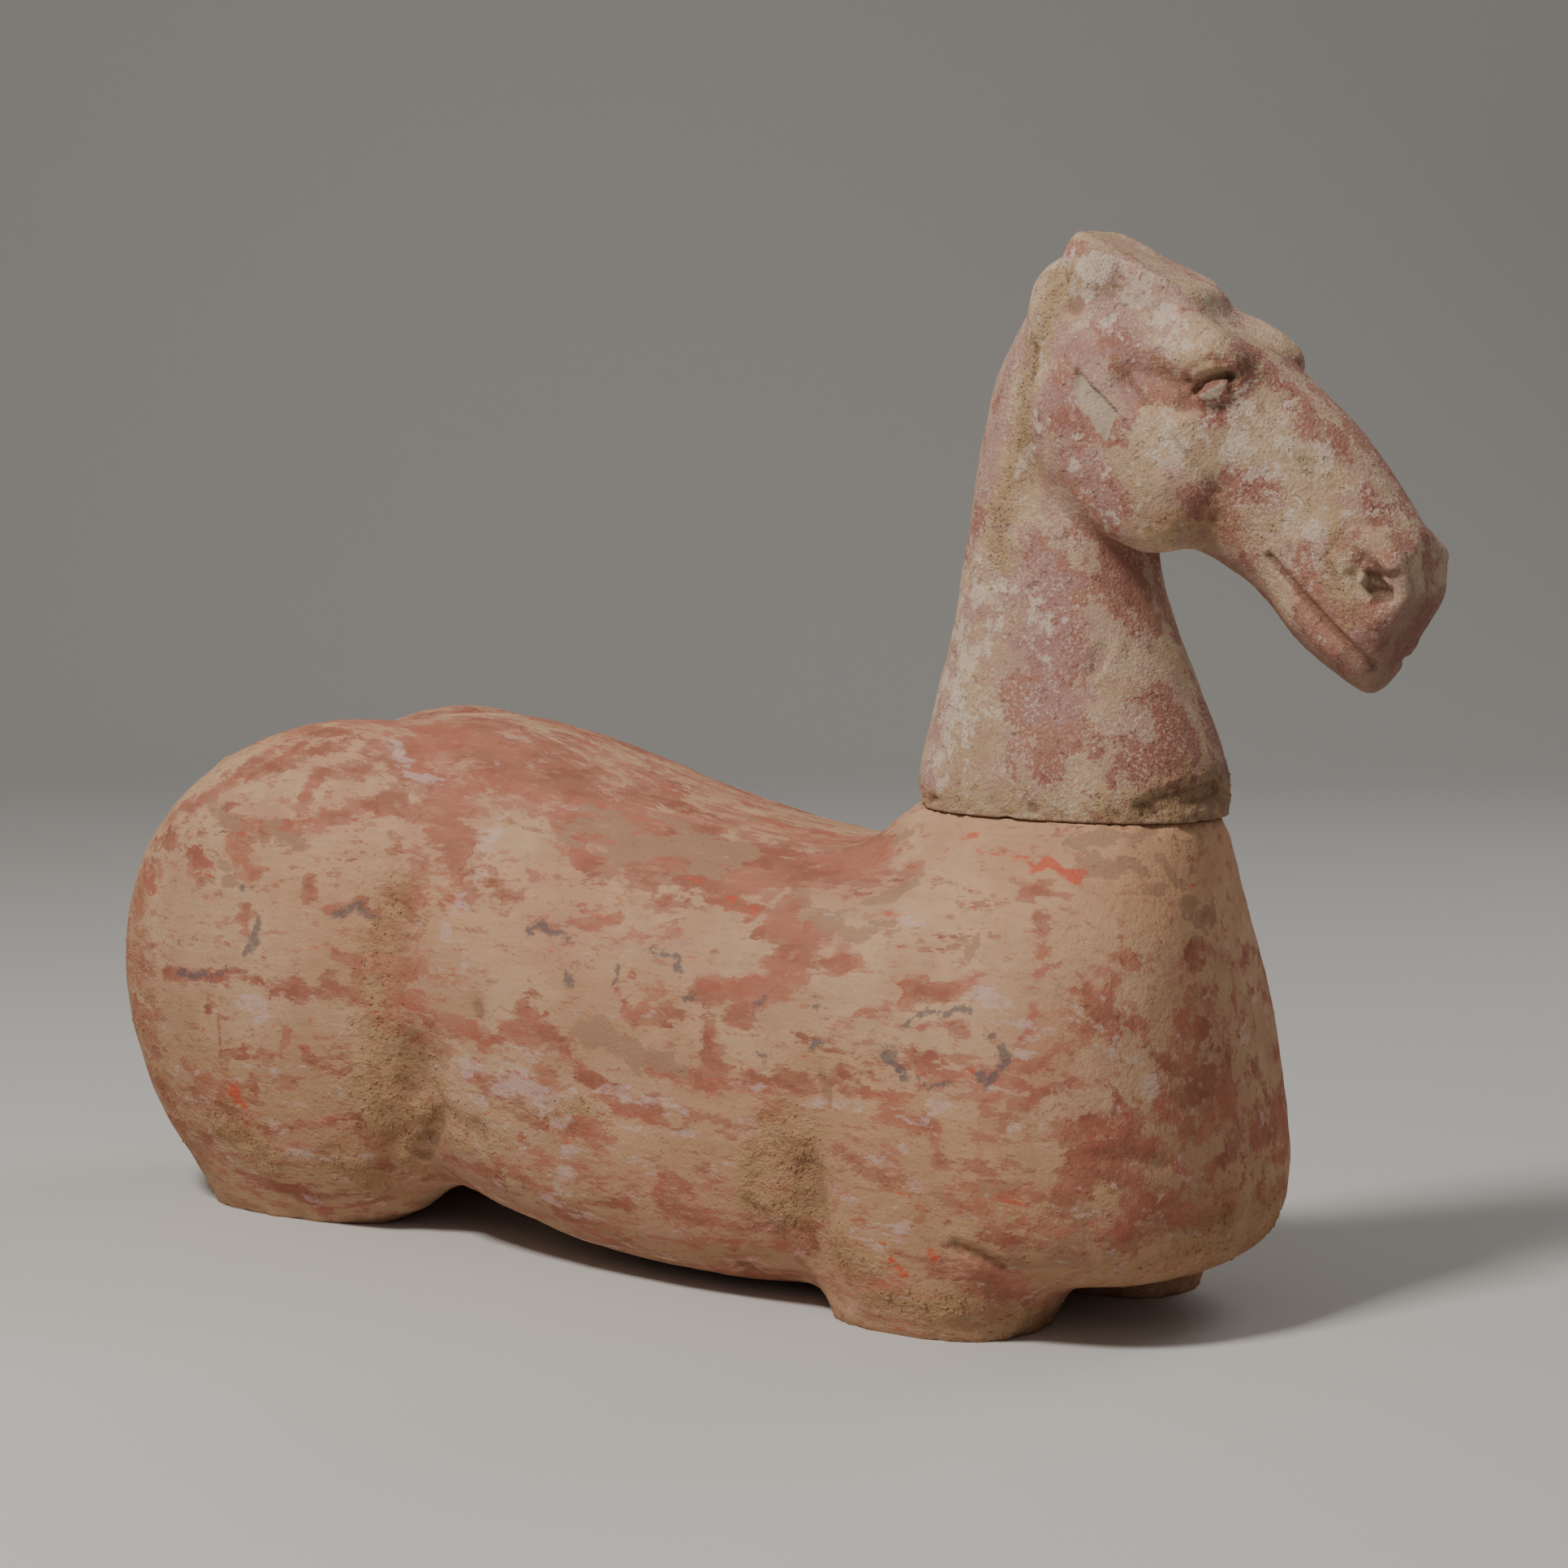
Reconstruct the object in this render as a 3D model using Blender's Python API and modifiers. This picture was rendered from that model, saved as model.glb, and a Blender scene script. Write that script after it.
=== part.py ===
"""Pottery horse without legs, in two pieces of fired clay: the torso, and the neck with the head.

Metres, +Z up. The horse faces +X, its left side is +Y, and it stands on z = 0.
The origin is on the floor, midway between the end of the rump and the tip of the muzzle.
"""

import math

import bmesh
import bpy
from mathutils import Matrix, Vector

# Driving dimensions of the torso
RUMP_REACH = 0.3662  # origin back to the end of the rump
TORSO_LENGTH = 0.6475
TORSO_WIDTH = 0.208
CROUP_HEIGHT = 0.263

# Driving dimensions of the joint between the pieces
STUMP_HEIGHT = 0.2345
NECK_BASE_LENGTH = 0.150
NECK_SETBACK = 0.093  # chest front back to the middle of the neck base
SEAT_GAP = 0.0003  # the neck's underside above the stump

# Driving dimensions of the neck and head
NECK_PIECE_HEIGHT = 0.268
HEAD_LENGTH = 0.25
HEAD_TURN = math.radians(3.0)  # to the horse's left, as the loose piece was set down
HEAD_SLOPE = math.radians(41.0)  # the head's long axis below level
SKULL_FORWARD = 0.030  # middle of the neck base to the middle of the skull
SKULL_DROP = 0.066  # top of the piece down to the middle of the skull

# Fineness of the solids
TORSO_VOXEL = 0.0055
HEAD_VOXEL = 0.0026
TORSO_SOFTENING = 14
HEAD_SOFTENING = 3
TORSO_DETAIL = 0.105
HEAD_DETAIL = 0.088
RING_POINTS = 48
RINGS_BETWEEN = 5
PEBBLE_LAYERS = 20

CLAY_SLIP = (0.55, 0.40, 0.29)
CLAY_WORN = (0.52, 0.40, 0.31)
CLAY_ROUGHNESS = 0.92

CHEST_X = TORSO_LENGTH - RUMP_REACH
NECK_X = CHEST_X - NECK_SETBACK
HALF_WIDTH = TORSO_WIDTH / 2
SKULL_HEIGHT = NECK_PIECE_HEIGHT - SKULL_DROP
BEYOND = 2 * TORSO_LENGTH  # far enough for a cutter to pass every side

# Profiles of the barrel: along in percent of the torso's length from the rump, then the upper line, the lower
# line (both in percent of the croup's height), the half width (percent of half the torso's width) and how
# square the section is above and below its middle (2 is an ellipse).
BARREL = (
    (1.5, 56, 24, 46, 2.2, 2.4),
    (6, 73, 14, 70, 2.2, 2.6),
    (14, 89, 10, 85, 2.3, 2.8),
    (24, 97.5, 12, 90, 2.4, 3.0),
    (32, 99, 11, 90, 2.5, 3.4),
    (40, 96, 6, 93, 2.6, 4.0),
    (50, 88.5, 2, 98, 2.6, 4.4),
    (60, 83.5, 0.8, 101, 2.5, 4.4),
    (68, 81.5, 0.8, 101, 2.4, 3.8),
    (76, 82, 3, 98, 2.4, 3.2),
    (84, 78, 8, 94, 2.4, 2.6),
    (91, 66, 14, 82, 2.4, 2.4),
    (95, 56, 22, 62, 2.3, 2.3),
)

# Sections of the forehand from the ground up: height in percent of the stump's height, how far the
# back and the front lie from the middle of the neck base, and the half width, all in percent of the
# neck base's length.
FOREHAND = (
    (10, 48, 50, 46, 2.4),
    (17, 58, 62, 65, 2.5),
    (30, 64, 64, 69, 2.5),
    (46, 67, 61, 69, 2.5),
    (62, 70, 57, 66, 2.4),
    (76, 74, 54, 58, 2.3),
    (86, 73, 53, 48, 2.2),
    (93, 66, 52.5, 40, 2.2),
    (98, 57, 52, 36, 2.2),
    (102, 51, 51, 34.5, 2.2),
)

# Sections of the neck from its base up: height in percent of the piece's height, then the back line, the
# throat line and the half width in percent of the neck base's length.
NECK = (
    (-4, 48, 49, 33.5, 2.3),
    (1.5, 49.5, 51, 33.5, 2.3),
    (5, 50, 51, 33.5, 2.3),
    (12, 47, 48, 31.5, 2.4),
    (22, 42.5, 40, 28.5, 2.4),
    (34, 37.5, 31, 25.5, 2.4),
    (46, 34, 25, 23.5, 2.4),
    (60, 30.5, 26, 21, 2.3),
    (75, 24, 30, 18, 2.3),
    (86, 12.5, 26, 15, 2.3),
    (93, 3, 20, 12, 2.2),
)

# Sections of the head along its axis, in percent of the head's length from the middle of the skull: along,
# upper line, lower line, half width.
HEAD = (
    (-23.5, 8, 0, 8, 2.2),
    (-18, 10.5, -8, 12, 2.3),
    (-9, 14, -15, 15, 2.5),
    (0, 17, -20, 16.5, 2.5),
    (10, 19.5, -21.5, 17, 2.5),
    (20, 21.5, -19.5, 15.5, 2.5),
    (29, 22, -16, 13, 2.5),
    (37, 22, -13, 11.4, 2.5),
    (47, 20.7, -11.6, 10.2, 2.5),
    (57, 18.5, -13.2, 10.2, 2.5),
    (64, 17, -12.8, 10.1, 2.6),
    (70, 15.4, -12, 9.6, 2.7),
    (76, 13, -11, 8, 2.7),
    (81, 11, -10, 7, 2.7),
)

# Rounded masses of the torso. Middle: along in percent of the torso's length from the rump, out to
# the side in percent of half its width, up in percent of the croup's height. Half sizes in the same
# percents, then how flat sided the mass is, and how far its front is turned down in degrees.
HAUNCH = ((21.5, 45, 47.5), (21.8, 56, 50), 2.2, -22.0)
HIND_STUMP = ((17.5, 45, 16), (10.3, 33, 24), 2.6, 0.0)
RIGHT_FORE_STUMP = ((80.5, 54, 24), (9.5, 47, 34), 2.8, 0.0)
LEFT_FORE_STUMP = ((84.5, 54, 24), (7.5, 39, 34), 2.8, 0.0)

# Rounded masses of the head, in percent of its length from the middle of the skull: along, out, up;
# half sizes; flatness and turn as above.
FOREHEAD_SLAB = ((-9, 0, 15.5), (14.6, 10.2, 7), 4.5, -16.0)
FACE_MASSES = (
    ((11, 8, -5.5), (22, 10.5, 16.5), 2.8, 0.0),  # cheek
    ((13.2, 11, 17.6), (10, 4.6, 4.2), 2.0, 0.0),  # brow
    ((18, 13.5, 14), (5, 3, 2.6), 2.0, 0.0),  # eyeball
    ((63, 6.6, 9.6), (7, 4.2, 6), 2.2, 20.0),  # rim of the nostril
    ((-14, 11, 10), (5.5, 4, 4), 2.0, 0.0),  # broken base of the ear
)

# Flat knife cuts across the head, in the same percents: a point of the cut along and up, and how
# far it leans back from upright in degrees.
FOREHEAD_CUT = ((-4.5, 19.9), 106.0)
NOSE_TIP_CUT = ((67.2, 13.2), 45.0)
MUZZLE_CUT = ((71.6, 3.5), 11.0)

# Hollows of the head, written as its masses are.
LIPS_PARTING = ((73.5, 0, -4.4), (3.4, 9, 1.0), 2.2, 4.0)
FACE_HOLLOWS = (
    ("nostril", ((64.8, 11, 7.3), (4.4, 4, 2.9), 2.2, 24.0)),
    ("mouth", ((62, 10.6, -3), (15, 2.8, 1.1), 2.2, 4.0)),
    ("eye hollow", ((9.5, 18, 9), (7.5, 4, 3), 2.2, 0.0)),
)


def clear_scene():
    """Remove everything that an earlier run or the startup file left."""
    for obj in list(bpy.data.objects):
        bpy.data.objects.remove(obj, do_unlink=True)


def new_collection(name):
    """A collection under the scene's own."""
    group = bpy.data.collections.new(name)
    bpy.context.scene.collection.children.link(group)
    return group


def clay(name, colour):
    """Matte painted clay."""
    material = bpy.data.materials.new(name)
    material.use_nodes = True
    shader = material.node_tree.nodes["Principled BSDF"]
    shader.inputs["Base Color"].default_value = (*colour, 1.0)
    shader.inputs["Roughness"].default_value = CLAY_ROUGHNESS
    shader.inputs["Metallic"].default_value = 0.0
    return material


def between(rows, count):
    """Rows of sizes, with count - 1 further rows between each pair on a smooth curve through them."""
    out = []
    for i in range(len(rows) - 1):
        before = rows[max(i - 1, 0)]
        after = rows[min(i + 2, len(rows) - 1)]
        for step in range(count):
            t = step / count
            row = []
            for a, b, c, d in zip(before, rows[i], rows[i + 1], after):
                slope_in = (c - a) / 2
                slope_out = (d - b) / 2
                row.append(
                    b
                    + slope_in * t
                    + (3 * (c - b) - 2 * slope_in - slope_out) * t**2
                    + (2 * (b - c) + slope_in + slope_out) * t**3
                )
            out.append(row)
    out.append(list(rows[-1]))
    return out


def rounded(angle, square):
    """A point on the unit superellipse."""
    power = 2 / square
    across = math.copysign(abs(math.cos(angle)) ** power, math.cos(angle))
    up = math.copysign(abs(math.sin(angle)) ** power, math.sin(angle))
    return across, up


def add_loft(shell, rings, place):
    """Skin closed rings of points, cap both ends, and move the result by the matrix place."""
    loops = [[shell.verts.new(place @ Vector(p)) for p in ring] for ring in rings]
    faces = []
    for lower, upper in zip(loops, loops[1:]):
        for i in range(len(lower)):
            j = (i + 1) % len(lower)
            faces.append(shell.faces.new((lower[i], lower[j], upper[j], upper[i])))
    faces.append(shell.faces.new(list(reversed(loops[0]))))
    faces.append(shell.faces.new(loops[-1]))
    bmesh.ops.recalc_face_normals(shell, faces=faces)


def add_pebble(shell, radii, square, place):
    """A rounded mass in the axes of place: an ellipsoid when square is 2, flatter sided above."""
    rings = []
    for layer in range(1, PEBBLE_LAYERS):
        spread, across = rounded(math.pi * (layer / PEBBLE_LAYERS - 0.5), square)
        ring = []
        for i in range(RING_POINTS):
            along, up = rounded(2 * math.pi * i / RING_POINTS, square)
            ring.append((radii[0] * spread * along, radii[1] * across, radii[2] * spread * up))
        rings.append(ring)
    add_loft(shell, rings, place)


def to_object(shell, name, group, material=None):
    """The bmesh as an object in the group."""
    mesh = bpy.data.meshes.new(name)
    shell.to_mesh(mesh)
    shell.free()
    obj = bpy.data.objects.new(name, mesh)
    if material is not None:
        mesh.materials.append(material)
    group.objects.link(obj)
    return obj


def skin_over(obj, voxel):
    """Grow the overlapping masses into one skin of clay."""
    skin = obj.modifiers.new("one skin", "REMESH")
    skin.mode = "VOXEL"
    skin.voxel_size = voxel


def soften(obj, rounds, detail):
    """Smooth the skin like worked clay and thin its triangles."""
    soft = obj.modifiers.new("soften", "SMOOTH")
    soft.factor = 0.5
    soft.iterations = rounds
    thin = obj.modifiers.new("thin", "DECIMATE")
    thin.ratio = detail


def cut(obj, cutter):
    """Cut the cutter's shape from the piece."""
    cutter.hide_render = True
    cutter.display_type = "WIRE"
    boolean = obj.modifiers.new(cutter.name, "BOOLEAN")
    boolean.operation = "DIFFERENCE"
    boolean.solver = "EXACT"
    boolean.object = cutter


def carve(piece, cutter):
    """Cut a cutter that is modelled in the piece's own axes."""
    cutter.parent = piece
    cut(piece, cutter)


def block(name, group, low, high):
    """A box between two corners, as a cutter."""
    shell = bmesh.new()
    size = Vector(high) - Vector(low)
    middle = (Vector(high) + Vector(low)) / 2
    bmesh.ops.create_cube(shell, size=1.0, matrix=Matrix.Translation(middle) @ Matrix.Diagonal((*size, 1.0)))
    return to_object(shell, name, group)


def torso_x(along):
    """Percent of the torso's length from the rump to x."""
    return -RUMP_REACH + TORSO_LENGTH * along / 100


def barrel_rings():
    """Upright sections of the barrel, from rump to chest."""
    rings = []
    for along, top, bottom, wide, above, below in between(BARREL, RINGS_BETWEEN):
        middle = CROUP_HEIGHT * (top + bottom) / 200
        half_height = CROUP_HEIGHT * (top - bottom) / 200
        half_width = HALF_WIDTH * wide / 100
        ring = []
        for i in range(RING_POINTS):
            angle = 2 * math.pi * i / RING_POINTS
            across, up = rounded(angle, above if angle < math.pi else below)
            ring.append((torso_x(along), half_width * across, middle + half_height * up))
        rings.append(ring)
    return rings


def level_rings(rows, height, length):
    """Level sections, from the lowest up: rows of height, back, front, half width and squareness."""
    rings = []
    for up, back, front, wide, square in between(rows, RINGS_BETWEEN):
        ring = []
        for i in range(RING_POINTS):
            along, across = rounded(2 * math.pi * i / RING_POINTS, square)
            reach = front if along > 0 else back
            ring.append((length * reach * along / 100, length * wide * across / 100, height * up / 100))
        rings.append(ring)
    return rings


def head_rings():
    """Sections across the head, from the poll to the lips, in the head's own axes."""
    rings = []
    for along, top, bottom, wide, square in between(HEAD, RINGS_BETWEEN):
        ring = []
        for i in range(RING_POINTS):
            across, up = rounded(2 * math.pi * i / RING_POINTS, square)
            ring.append(
                (
                    HEAD_LENGTH * along / 100,
                    HEAD_LENGTH * wide * across / 100,
                    HEAD_LENGTH * ((top + bottom) / 2 + (top - bottom) / 2 * up) / 100,
                )
            )
        rings.append(ring)
    return rings


def add_body_mass(shell, side, mass):
    """One of the torso's masses, on its right side for -1 and its left for 1."""
    (along, out, up), (length, width, height), square, nose_down = mass
    middle = (torso_x(along), side * HALF_WIDTH * out / 100, CROUP_HEIGHT * up / 100)
    radii = (TORSO_LENGTH * length / 100, HALF_WIDTH * width / 100, CROUP_HEIGHT * height / 100)
    turn = Matrix.Rotation(math.radians(nose_down), 4, "Y")
    add_pebble(shell, radii, square, Matrix.Translation(middle) @ turn)


def torso(parts, cutters):
    """The body: barrel, forehand with the neck stump, two haunches and four leg stumps."""
    shell = bmesh.new()
    add_loft(shell, barrel_rings(), Matrix.Identity(4))
    forehand = level_rings(FOREHAND, STUMP_HEIGHT, NECK_BASE_LENGTH)
    add_loft(shell, forehand, Matrix.Translation((NECK_X, 0.0, 0.0)))
    for side in (-1, 1):
        add_body_mass(shell, side, HAUNCH)
        add_body_mass(shell, side, HIND_STUMP)
    add_body_mass(shell, -1, RIGHT_FORE_STUMP)
    add_body_mass(shell, 1, LEFT_FORE_STUMP)
    horse = to_object(shell, "horse_torso", parts, clay("clay slip", CLAY_SLIP))
    skin_over(horse, TORSO_VOXEL)
    soften(horse, TORSO_SOFTENING, TORSO_DETAIL)
    cut(horse, block("floor level", cutters, (-BEYOND, -BEYOND, -BEYOND), (BEYOND, BEYOND, 0.0)))
    over_stump = (NECK_X - NECK_BASE_LENGTH, -BEYOND, STUMP_HEIGHT)
    cut(horse, block("stump level", cutters, over_stump, (BEYOND, BEYOND, BEYOND)))
    return horse


def skull_axes():
    """The head's axes in the neck piece: along to the muzzle, across to the left, up through the forehead."""
    return Matrix.Translation((SKULL_FORWARD, 0.0, SKULL_HEIGHT)) @ Matrix.Rotation(HEAD_SLOPE, 4, "Y")


def add_face_mass(shell, side, mass):
    """One of the head's masses or hollows, in the axes of the neck piece."""
    middle, radii, square, nose_down = mass
    size = HEAD_LENGTH / 100
    along, out, up = (size * value for value in middle)
    turn = Matrix.Rotation(math.radians(nose_down), 4, "Y")
    place = skull_axes() @ Matrix.Translation((along, side * out, up)) @ turn
    add_pebble(shell, [size * value for value in radii], square, place)


def hollow(name, group, side, mass):
    """A rounded cutter for the head."""
    shell = bmesh.new()
    add_face_mass(shell, side, mass)
    return to_object(shell, name, group)


def knife(name, group, cut_line):
    """A block that takes all of the head in front of a flat cut, or above one that leans far back."""
    (along, up), lean = cut_line
    size = HEAD_LENGTH / 100
    shell = bmesh.new()
    place = skull_axes() @ Matrix.Translation((size * along, 0.0, size * up))
    ahead = Matrix.Rotation(-math.radians(lean), 4, "Y") @ Matrix.Translation((HEAD_LENGTH / 2, 0.0, 0.0))
    bmesh.ops.create_cube(shell, size=HEAD_LENGTH, matrix=place @ ahead)
    return to_object(shell, name, group)


def head_and_neck(parts, cutters):
    """The neck with the head, standing loose on the stump."""
    shell = bmesh.new()
    add_loft(shell, level_rings(NECK, NECK_PIECE_HEIGHT, NECK_BASE_LENGTH), Matrix.Identity(4))
    add_loft(shell, head_rings(), skull_axes())
    add_face_mass(shell, 1, FOREHEAD_SLAB)
    for side in (-1, 1):
        for mass in FACE_MASSES:
            add_face_mass(shell, side, mass)
    piece = to_object(shell, "head_and_neck", parts, clay("clay worn", CLAY_WORN))
    piece.location = (NECK_X, 0.0, STUMP_HEIGHT + SEAT_GAP)
    piece.rotation_euler = (0.0, 0.0, HEAD_TURN)
    skin_over(piece, HEAD_VOXEL)
    for name, cut_line in (("forehead", FOREHEAD_CUT), ("nose tip", NOSE_TIP_CUT), ("muzzle", MUZZLE_CUT)):
        carve(piece, knife(f"{name} cut", cutters, cut_line))
    carve(piece, hollow("parting of the lips", cutters, 1, LIPS_PARTING))
    for side, word in ((-1, "right"), (1, "left")):
        for name, mass in FACE_HOLLOWS:
            carve(piece, hollow(f"{word} {name}", cutters, side, mass))
    skin_over(piece, HEAD_VOXEL)
    soften(piece, HEAD_SOFTENING, HEAD_DETAIL)
    carve(piece, block("neck seat", cutters, (-BEYOND, -BEYOND, -BEYOND), (BEYOND, BEYOND, 0.0)))
    return piece


def main():
    clear_scene()
    parts = new_collection("pottery_horse")
    cutters = new_collection("cutters")
    torso(parts, cutters)
    head_and_neck(parts, cutters)


main()
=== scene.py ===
# %% [markdown]
# # A painted pottery horse
#
# The real object is a hollow horse of fired clay, made in two loose pieces: a legless body, and a neck with
# the head that stands on the cut neck stump. It was painted on a thin cream slip, and the burial left it
# worn.
#
# The solids already give each piece its size and pose, but with facets of about a centimetre. A reader
# could smooth those solids with a subdivision modifier, but the fine carving of the eye and the nostril has
# no faces there to carry it. So each piece is skinned again with small even faces, and all carving is done
# on that skin.

# %% Load the solids
import math

import bmesh
import bpy
import numpy as np
from mathutils import Matrix, Vector, noise


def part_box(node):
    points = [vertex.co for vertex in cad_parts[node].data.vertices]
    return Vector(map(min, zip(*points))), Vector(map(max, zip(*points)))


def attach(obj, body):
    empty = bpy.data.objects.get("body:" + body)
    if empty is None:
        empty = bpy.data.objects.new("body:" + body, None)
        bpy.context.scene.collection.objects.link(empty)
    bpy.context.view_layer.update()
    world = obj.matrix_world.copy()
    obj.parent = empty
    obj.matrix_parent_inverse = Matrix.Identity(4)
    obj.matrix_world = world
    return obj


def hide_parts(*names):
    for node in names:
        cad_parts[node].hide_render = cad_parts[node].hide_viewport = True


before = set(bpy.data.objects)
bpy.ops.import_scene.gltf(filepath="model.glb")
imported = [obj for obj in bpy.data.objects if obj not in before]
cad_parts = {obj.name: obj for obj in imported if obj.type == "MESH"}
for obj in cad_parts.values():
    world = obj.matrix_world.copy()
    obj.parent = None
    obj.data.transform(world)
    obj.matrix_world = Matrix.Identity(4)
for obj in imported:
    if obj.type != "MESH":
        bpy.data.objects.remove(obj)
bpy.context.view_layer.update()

# %% [markdown]
# ## Camera, floor and light
#
# The horse is seen from its right, turned a third of the way towards its front, from just above its head. A
# long lens keeps the far side from shrinking. One broad lamp from the upper left models the forms, a weaker
# one opens the shadows, and a pale sheet runs under the horse and up behind it, as in a photographer's
# studio.

# %% Camera
VIEW_TURN = math.radians(36.0)
VIEW_DROP = math.radians(6.2)
VIEW_TARGET = Vector((0.0233, 0.0, 0.236))
VIEW_DISTANCE = 2.0
LENS = 94.1
SENSOR = 36.0
NEAREST_SEEN = 0.05

level = math.cos(VIEW_DROP)
gaze = Vector((-math.sin(VIEW_TURN) * level, math.cos(VIEW_TURN) * level, -math.sin(VIEW_DROP)))
camera = bpy.data.objects.new("camera", bpy.data.cameras.new("camera"))
camera.data.lens = LENS
camera.data.sensor_width = SENSOR
camera.data.clip_start = NEAREST_SEEN
camera.location = VIEW_TARGET - VIEW_DISTANCE * gaze
camera.rotation_euler = gaze.to_track_quat("-Z", "Y").to_euler()
bpy.context.scene.collection.objects.link(camera)
bpy.context.scene.camera = camera
print("camera stands", round(camera.location.z, 3), "m above the floor")

# %% Lamps
LAMPS = (
    ("key", (-0.20, -1.35, 1.95), 0.40, 44.0, (1.0, 0.96, 0.90)),
    ("fill", (1.5, -2.0, 0.8), 1.6, 2.0, (1.0, 0.98, 0.96)),
    ("rim", (0.6, 1.8, 1.7), 1.2, 12.0, (1.0, 0.98, 0.95)),
)
WORLD_COLOUR = (0.80, 0.79, 0.77, 1.0)
WORLD_STRENGTH = 0.17


def add_lamp(name, place, size, power, colour):
    """A square soft lamp that looks at the middle of the horse."""
    lamp = bpy.data.objects.new(name, bpy.data.lights.new(name, "AREA"))
    lamp.data.size = size
    lamp.data.energy = power
    lamp.data.color = colour
    lamp.location = place
    lamp.rotation_euler = (VIEW_TARGET - Vector(place)).to_track_quat("-Z", "Y").to_euler()
    bpy.context.scene.collection.objects.link(lamp)


for row in LAMPS:
    add_lamp(*row)

world = bpy.data.worlds.new("studio")
bpy.context.scene.world = world
world.use_nodes = True
backdrop = world.node_tree.nodes["Background"]
backdrop.inputs["Color"].default_value = WORLD_COLOUR
backdrop.inputs["Strength"].default_value = WORLD_STRENGTH

# %% Floor
FLOOR_REACH = 3.0
SWEEP_RADIUS = 1.2
SWEEP_BACK = 2.2
WALL_HEIGHT = 3.0
SWEEP_STEPS = 16
PAPER_COLOUR = (0.62, 0.61, 0.59, 1.0)
PAPER_ROUGHNESS = 0.9


def sweep_profile():
    """Distance behind the horse and height of the sheet: flat, round, then upright."""
    points = [(-FLOOR_REACH, 0.0)]
    for step in range(SWEEP_STEPS + 1):
        angle = math.pi / 2 * step / SWEEP_STEPS
        points.append((SWEEP_BACK + SWEEP_RADIUS * math.sin(angle), SWEEP_RADIUS * (1 - math.cos(angle))))
    points.append((SWEEP_BACK + SWEEP_RADIUS, WALL_HEIGHT))
    return points


def make_sheet():
    """The pale sheet, square to the camera."""
    sheet = bmesh.new()
    side = Vector((math.cos(VIEW_TURN), math.sin(VIEW_TURN), 0.0))
    back = Vector((-math.sin(VIEW_TURN), math.cos(VIEW_TURN), 0.0))
    rows = []
    for reach, height in sweep_profile():
        middle = back * reach + Vector((0.0, 0.0, height))
        rows.append([sheet.verts.new(middle + side * across) for across in (-FLOOR_REACH, FLOOR_REACH)])
    for near, far in zip(rows, rows[1:]):
        sheet.faces.new((near[0], near[1], far[1], far[0]))
    mesh = bpy.data.meshes.new("paper_sheet")
    sheet.to_mesh(mesh)
    sheet.free()
    mesh.shade_smooth()
    return bpy.data.objects.new("paper_sheet", mesh)


paper = bpy.data.materials.new("pale paper")
paper.use_nodes = True
paper_shader = paper.node_tree.nodes["Principled BSDF"]
paper_shader.inputs["Base Color"].default_value = PAPER_COLOUR
paper_shader.inputs["Roughness"].default_value = PAPER_ROUGHNESS
floor = make_sheet()
floor.data.materials.append(paper)
bpy.context.scene.collection.objects.link(floor)
print("sheet has", len(floor.data.polygons), "faces")

# %% [markdown]
# ## A fine skin over each solid
#
# A potter pressed each half in a mould, joined them and wiped the outside with wet hands, so the surface
# has no flat facets. The Remesh modifier in voxel mode lays small even faces over the solid. The facets are
# then relaxed away by moving each point towards the middle of its neighbours. The points in the flat
# undersides and on the two flat cuts at the neck stay where they are, so the pieces still stand and meet as
# they did.

# %% Skin helpers
TORSO_GRAIN = 0.0029
HEAD_GRAIN = 0.0014
MERGE = 0.00001
EASE = 0.5


def bake(obj):
    """Turn the object's modifiers into plain mesh."""
    ready = obj.evaluated_get(bpy.context.evaluated_depsgraph_get())
    mesh = bpy.data.meshes.new_from_object(ready)
    obj.modifiers.clear()
    obj.data = mesh


def fine_skin(node, name, grain):
    """A copy of a solid, skinned again with small even faces."""
    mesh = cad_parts[node].data.copy()
    joined = bmesh.new()
    joined.from_mesh(mesh)
    bmesh.ops.remove_doubles(joined, verts=joined.verts, dist=MERGE)
    joined.to_mesh(mesh)
    joined.free()
    mesh.materials.clear()
    skin = bpy.data.objects.new(name, mesh)
    bpy.context.scene.collection.objects.link(skin)
    remesh = skin.modifiers.new("even faces", "REMESH")
    remesh.mode = "VOXEL"
    remesh.voxel_size = grain
    remesh.use_smooth_shade = True
    bake(skin)
    return skin


def points_of(obj):
    """The object's points as rows of x, y, z."""
    flat = np.empty(len(obj.data.vertices) * 3)
    obj.data.vertices.foreach_get("co", flat)
    return flat.reshape(-1, 3)


def normals_of(obj):
    """The direction straight out of the surface at each point."""
    flat = np.empty(len(obj.data.vertices) * 3)
    obj.data.vertices.foreach_get("normal", flat)
    return flat.reshape(-1, 3)


def move_points(obj, points):
    """Put the object's points in new places."""
    obj.data.vertices.foreach_set("co", points.ravel())
    obj.data.update()


def edges_of(obj):
    """The two ends of each edge, as two lists of point numbers."""
    flat = np.empty(len(obj.data.edges) * 2, dtype=np.int64)
    obj.data.edges.foreach_get("vertices", flat)
    return flat[0::2], flat[1::2]


def average(values, edges):
    """For each point, the mean of the values at its neighbours."""
    first, second = edges
    count = len(values)
    total = np.bincount(first, values[second], count) + np.bincount(second, values[first], count)
    return total / (np.bincount(first, minlength=count) + np.bincount(second, minlength=count))


def relax(points, edges, rounds, freedom):
    """Move points towards the middle of their neighbours, by a freedom of 0 to 1 each."""
    for _ in range(rounds):
        middle = np.stack([average(points[:, axis], edges) for axis in range(3)], axis=1)
        points = points + EASE * freedom[:, None] * (middle - points)
    return points


def blend_between(values, low, high):
    """0 below low, 1 above high, and a soft step between."""
    share = np.clip((values - low) / (high - low), 0.0, 1.0)
    return share * share * (3 - 2 * share)


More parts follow.
